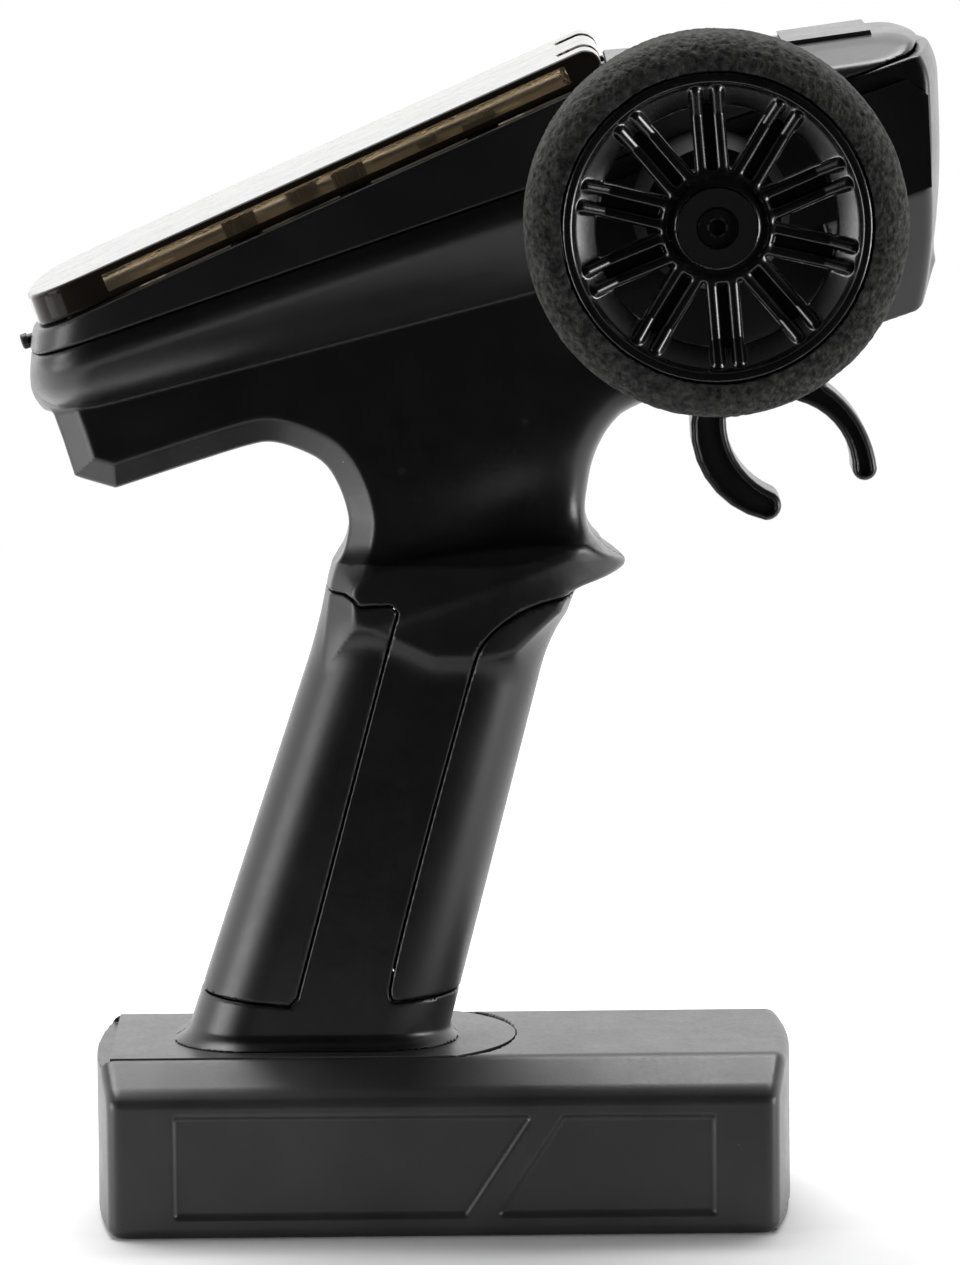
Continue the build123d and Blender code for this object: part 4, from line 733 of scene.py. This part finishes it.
def lid(x, y, z):
    """The smoked lid: a shallow tray with rounded rear corners, hinged at its front."""
    dx, dz = x - HINGE.x, z - HINGE.z
    back = -dx * math.cos(LID_SLOPE) - dz * math.sin(LID_SLOPE)
    up = dz * math.cos(LID_SLOPE) - dx * math.sin(LID_SLOPE)
    u = to_head(x, z)[0]
    wide = np.abs(y)
    rear = LID_REAR - LID_BOW * (1 - (wide / LID_HALF_WIDTH) ** 2) - u
    side = soft_max(wide - LID_HALF_WIDTH, rear, CORNER - 1)
    nose = np.hypot(np.minimum(back, 0), up) - LID_HALF
    outer = soft_max(side, np.maximum(np.abs(up) - LID_HALF, nose), 0.9)
    inner = np.maximum(np.maximum(side + LID_WALL, up - LID_INSIDE), LID_NOSE - back)
    notch = np.maximum(back, np.abs(up)) - NOTCH_REACH
    notch = np.maximum(np.abs(wide - LUG_OFFSET) - NOTCH_HALF, notch)
    return np.maximum(outer, -np.minimum(inner, notch))


lid_shape = surface(lid, (-82, -33, 170), (34, 33, 229), FINE)
piece("lid_cover", lid_shape, "lid", "smoked_plastic", ["lid"])

# ================================================================ wheel
WHEEL_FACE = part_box("wheel_tyre")[0].y / MM
WHEEL_WIDTH = (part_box("wheel_tyre")[1].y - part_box("wheel_tyre")[0].y) / MM
TYRE_RADIUS = (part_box("wheel_tyre")[1].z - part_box("wheel_tyre")[0].z) / MM / 2
RIM_RADIUS = (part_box("wheel_rim")[1].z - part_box("wheel_rim")[0].z) / MM / 2
SPOKES = 10
SPOKE_PHASE = math.radians(94.5)
OPENING_RADIUS = 22.0
DISH_DEPTH = 4.6
HUB_RADIUS = 10.6
RIB_RADIUS = 1.15
RIB_OFFSET = 1.95
BARREL_RADIUS = 26.3
BORE_RADIUS = 3.05
CAP_SEAT = (7.35, 3.4)
TYRE_FRONT_ROUND = 6
TYRE_BACK_ROUND = 5


def capsule(ends, a, b, c):
    """Distance in three directions from a line between two points of the first two."""
    (a0, b0), (a1, b1) = ends
    da, db = a1 - a0, b1 - b0
    share = np.clip(((a - a0) * da + (b - b0) * db) / (da * da + db * db), 0, 1)
    return np.sqrt((a - a0 - share * da) ** 2 + (b - b0 - share * db) ** 2 + c * c)


def rim(x, y, z):
    """Wheel rim: barrel, dished lip, hub, and ten spokes of two round ribs each."""
    px, pz, t = x - WHEEL.x, z - WHEEL.z, y - WHEEL_FACE
    r = np.hypot(px, pz)
    barrel = slab_between(r, BARREL_RADIUS, RIM_RADIUS - 0.02)
    barrel = soft_max(barrel, slab_between(t, 0.05, WHEEL_WIDTH), 0.9)
    dish = capsule(((26.6, 2.0), (OPENING_RADIUS + 0.9, DISH_DEPTH + 0.7)), r, t, 0) - 0.95
    skirt = soft_max(slab_between(r, OPENING_RADIUS, 24.2), slab_between(t, DISH_DEPTH, 9), 0.6)
    hub = soft_max(r - HUB_RADIUS, slab_between(t, 2.0, 14), 1.6)
    ring = np.hypot(r - 8.3, t - 1.6) - 1.15
    hub = soft_max(hub, -ring, 0.5)
    seat_radius, seat_depth = CAP_SEAT
    hub = np.maximum(hub, -np.maximum(r - seat_radius, t - seat_depth))
    step = math.tau / SPOKES
    turn = (np.arctan2(pz, px) - SPOKE_PHASE + step / 2) % step - step / 2
    along, across = r * np.cos(turn), np.abs(r * np.sin(turn))
    off = across - RIB_OFFSET
    bend = (20.6, DISH_DEPTH - 0.2)
    rib = np.minimum(
        capsule(((9.5, 3.4), bend), along, t, off), capsule((bend, (25.0, 2.2)), along, t, off)
    ) - RIB_RADIUS
    under = np.maximum(slab_between(t, DISH_DEPTH, 9), slab_between(along, 9.0, 23.0))
    web_plate = np.maximum(under, across - RIB_OFFSET - RIB_RADIUS + 0.15)
    web_plate = soft_max(web_plate, DISH_DEPTH + 0.9 - t, 0.3)
    spokes = soft_min(rib, np.maximum(under, np.abs(off) - RIB_RADIUS + 0.1), 0.4)
    shape = np.minimum(soft_min(barrel, dish, 0.8), skirt)
    shape = soft_min(soft_min(shape, hub, 0.5), np.minimum(spokes, web_plate), 0.5)
    return np.maximum(shape, BORE_RADIUS - r)


reach = RIM_RADIUS + 1
rim_low = (WHEEL.x - reach, WHEEL_FACE - 1, WHEEL.z - reach)
rim_high = (WHEEL.x + reach, WHEEL_FACE + WHEEL_WIDTH + 1, WHEEL.z + reach)
rim_shape = surface(rim, rim_low, rim_high, 0.36)
piece("rim", rim_shape, "wheel", "gloss_black", ["wheel_rim"])


def tyre_profile():
    """Points round the tyre's section: radius and distance from its outer face."""
    turn = np.linspace(0, math.pi / 2, 12)
    front, back = TYRE_FRONT_ROUND, TYRE_BACK_ROUND
    points = [(RIM_RADIUS + 0.1, WHEEL_WIDTH), (RIM_RADIUS + 0.1, 0)]
    points += [(TYRE_RADIUS - front + front * math.sin(a), front - front * math.cos(a)) for a in turn]
    points += [
        (TYRE_RADIUS - back + back * math.cos(a), WHEEL_WIDTH - back + back * math.sin(a))
        for a in turn
    ]
    return points


def tyre(step):
    """A foam ring whose surface is pitted by open cells."""
    chain = tyre_profile()
    chain.append(chain[0])
    chain = np.array(chain)
    lengths = np.r_[0, np.cumsum(np.linalg.norm(np.diff(chain, axis=0), axis=1))]
    rows = int(lengths[-1] / step)
    at = np.linspace(0, lengths[-1], rows, endpoint=False)
    section = np.stack([np.interp(at, lengths, chain[:, i]) for i in (0, 1)], 1)
    ahead = np.roll(section, -1, 0) - np.roll(section, 1, 0)
    outward = np.stack([ahead[:, 1], -ahead[:, 0]], 1)
    outward /= np.linalg.norm(outward, axis=1)[:, None]
    columns = int(math.tau * TYRE_RADIUS / step)
    angles = np.linspace(0, math.tau, columns, endpoint=False)

    def spin(profile):
        r, t = profile[None, :, 0], profile[None, :, 1]
        c, s = np.cos(angles)[:, None], np.sin(angles)[:, None]
        return np.stack([r * c, np.broadcast_to(t, (columns, rows)), r * s], -1).reshape(-1, 3)

    points, normals = spin(section), spin(outward)
    pits = np.array([pit(Vector(p)) for p in points])
    points -= normals * pits[:, None]
    points += np.array([WHEEL.x, WHEEL_FACE, WHEEL.z])
    grid = np.arange(len(points)).reshape(columns, rows)
    right, up = np.roll(grid, -1, 0), np.roll(grid, -1, 1)
    both = np.roll(right, -1, 1)
    quads = np.stack([grid, right, both, up], -1).reshape(-1, 4)
    return points, quads, None


def pit(place):
    """Depth of the foam's surface under its smooth shape: open cells and slow unevenness."""
    near = noise.voronoi(place / 1.05)[0][0]
    small = noise.voronoi(place / 0.55 + Vector((7, 3, 5)))[0][0]
    slow = noise.noise(place / 5.0)
    return 0.08 + 0.55 * max(0, 0.62 - near) + 0.25 * max(0, 0.6 - small) + 0.10 * (slow + 0.5)


tyre_piece = piece("foam_tyre", tyre(0.4), "wheel", "foam", ["wheel_tyre"])

# ================================================================ trigger
PIVOT = centre_of("trigger_shaft")
TRIGGER_HALF = 7.0
HUB_ROUND = 7.0
SHAFT_HOLE = 2.05
RECESS_EDGE = 1.15
RECESS_DEPTH = 0.9
TRIGGER_ARCS = [
    ((-12.4, -17.0), (-11.6, -34.6), (-0.1, -42.8)),
    ((-0.1, -42.8), (2.6, -41.4), (1.8, -37.6)),
    ((1.8, -37.6), (-5.2, -31.6), (-7.5, -23.2)),
    ((-7.5, -23.2), (-1.4, -17.4), (6.1, -19.9)),
    ((6.1, -19.9), (14.2, -25.6), (16.6, -33.5)),
    ((16.6, -33.5), (18.8, -35.3), (21.3, -33.1)),
    ((21.3, -33.1), (18.6, -24.6), (11.8, -17.1)),
]
TRIGGER = [(-6.5, -4.0), (-12.4, -17.0)]
for ends in TRIGGER_ARCS:
    TRIGGER += arc(*ends)
TRIGGER += [(11.8, -17.1), (6.5, -4.0)]


def trigger(x, y, z):
    """Ring trigger with rounded edges and a shallow recess in each side."""
    a, b, wide = x - PIVOT.x, z - PIVOT.z, np.abs(y)
    side = np.minimum(outline(TRIGGER, a, b), np.hypot(a, b) - HUB_ROUND)
    shape = soft_max(side, wide - TRIGGER_HALF, 1.4)
    recess = np.maximum(side + RECESS_EDGE, TRIGGER_HALF - RECESS_DEPTH - wide)
    shape = soft_max(shape, -recess, 0.4)
    return np.maximum(shape, SHAFT_HOLE - np.hypot(a, b))


trigger_low = (PIVOT.x - 15, -8, PIVOT.z - 45)
trigger_high = (PIVOT.x + 24, 8, PIVOT.z + 9)
trigger_shape = surface(trigger, trigger_low, trigger_high, 0.36)
piece("finger_trigger", trigger_shape, "trigger", "body_plastic", ["trigger"])

# ================================================================ base
BASE_BOW = 3.4
BASE_HALF_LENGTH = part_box("base_shell")[1].x / MM - BASE_BOW
BASE_HALF_WIDTH = 34.0
BASE_PROFILE = [(34.0, 0), (34.0, 26.3), (32.5, 28.1), (23.0, BASE_TOP), (0, BASE_TOP)]
BASE_WALL = 2.4
BASE_INNER_TOP = 29.9
PANEL_SLOPE = 1.1
PANEL_SINK = 0.6
DOOR_END = 2.9
DOOR_HALF = 31.6
DOOR_THICKNESS = 2.5
FOOT_HALF = 23.05
FOOT_FLOOR = 31.45
FOOT_ROUND_START = 2.5
LEAD_SLOT = (-33.5, -15.5)
LEAD_SLOT_HALF = 4.5
LEFT_PANEL = [(-50.6, 23.1), (15.8, 22.8), (3.8, 4.7), (-50.6, 4.7)]
RIGHT_PANEL = [(23.2, 22.8), (51.0, 22.6), (51.0, 4.7), (11.2, 4.7)]


def base_form(x, wide, z, inset):
    """The base's outer form at an inset."""
    sides = facets(BASE_PROFILE, wide + inset, z + inset, 0.7)
    ends = np.abs(x) - BASE_HALF_LENGTH - BASE_BOW * (1 - (wide / BASE_HALF_WIDTH) ** 2) + inset
    return soft_max(sides, ends, 2.6)


def base(x, y, z):
    """The battery base: bowed ends, sloping shoulders and shallow panels in its long sides."""
    wide = np.abs(y)
    outer = base_form(x, wide, z, 0)
    outer = soft_max(outer, (outer - z + 1.5) / math.sqrt(2), 0.4)
    outer = soft_max(outer, -z, 0.5)
    panels = np.minimum(outline(LEFT_PANEL, x, z), outline(RIGHT_PANEL, x, z)) - 1.0
    level = np.clip(-panels / PANEL_SLOPE, 0, 1)
    outer = outer + PANEL_SINK * level * level * (3 - 2 * level) * (wide > 30)
    inner = np.maximum(base_form(x, wide, z, BASE_WALL), z - BASE_INNER_TOP)
    door = np.maximum(np.maximum(DOOR_END - x, wide - DOOR_HALF), z - DOOR_THICKNESS)
    reach = np.maximum(x - FOOT_ROUND_START, 0)
    foot = np.maximum(np.hypot(reach * 2, wide) - FOOT_HALF, FOOT_FLOOR - z)
    lead = np.maximum(slab_between(x, *LEAD_SLOT), wide - LEAD_SLOT_HALF)
    return np.maximum(outer, -np.minimum(np.minimum(inner, door), np.minimum(foot, lead)))


base_low, base_high = (-68, -35, -1), (68, 35, 34.5)
base_shape = surface(base, base_low, base_high, 0.6)
piece("battery_base", base_shape, "chassis", "base_plastic", ["base_shell"])
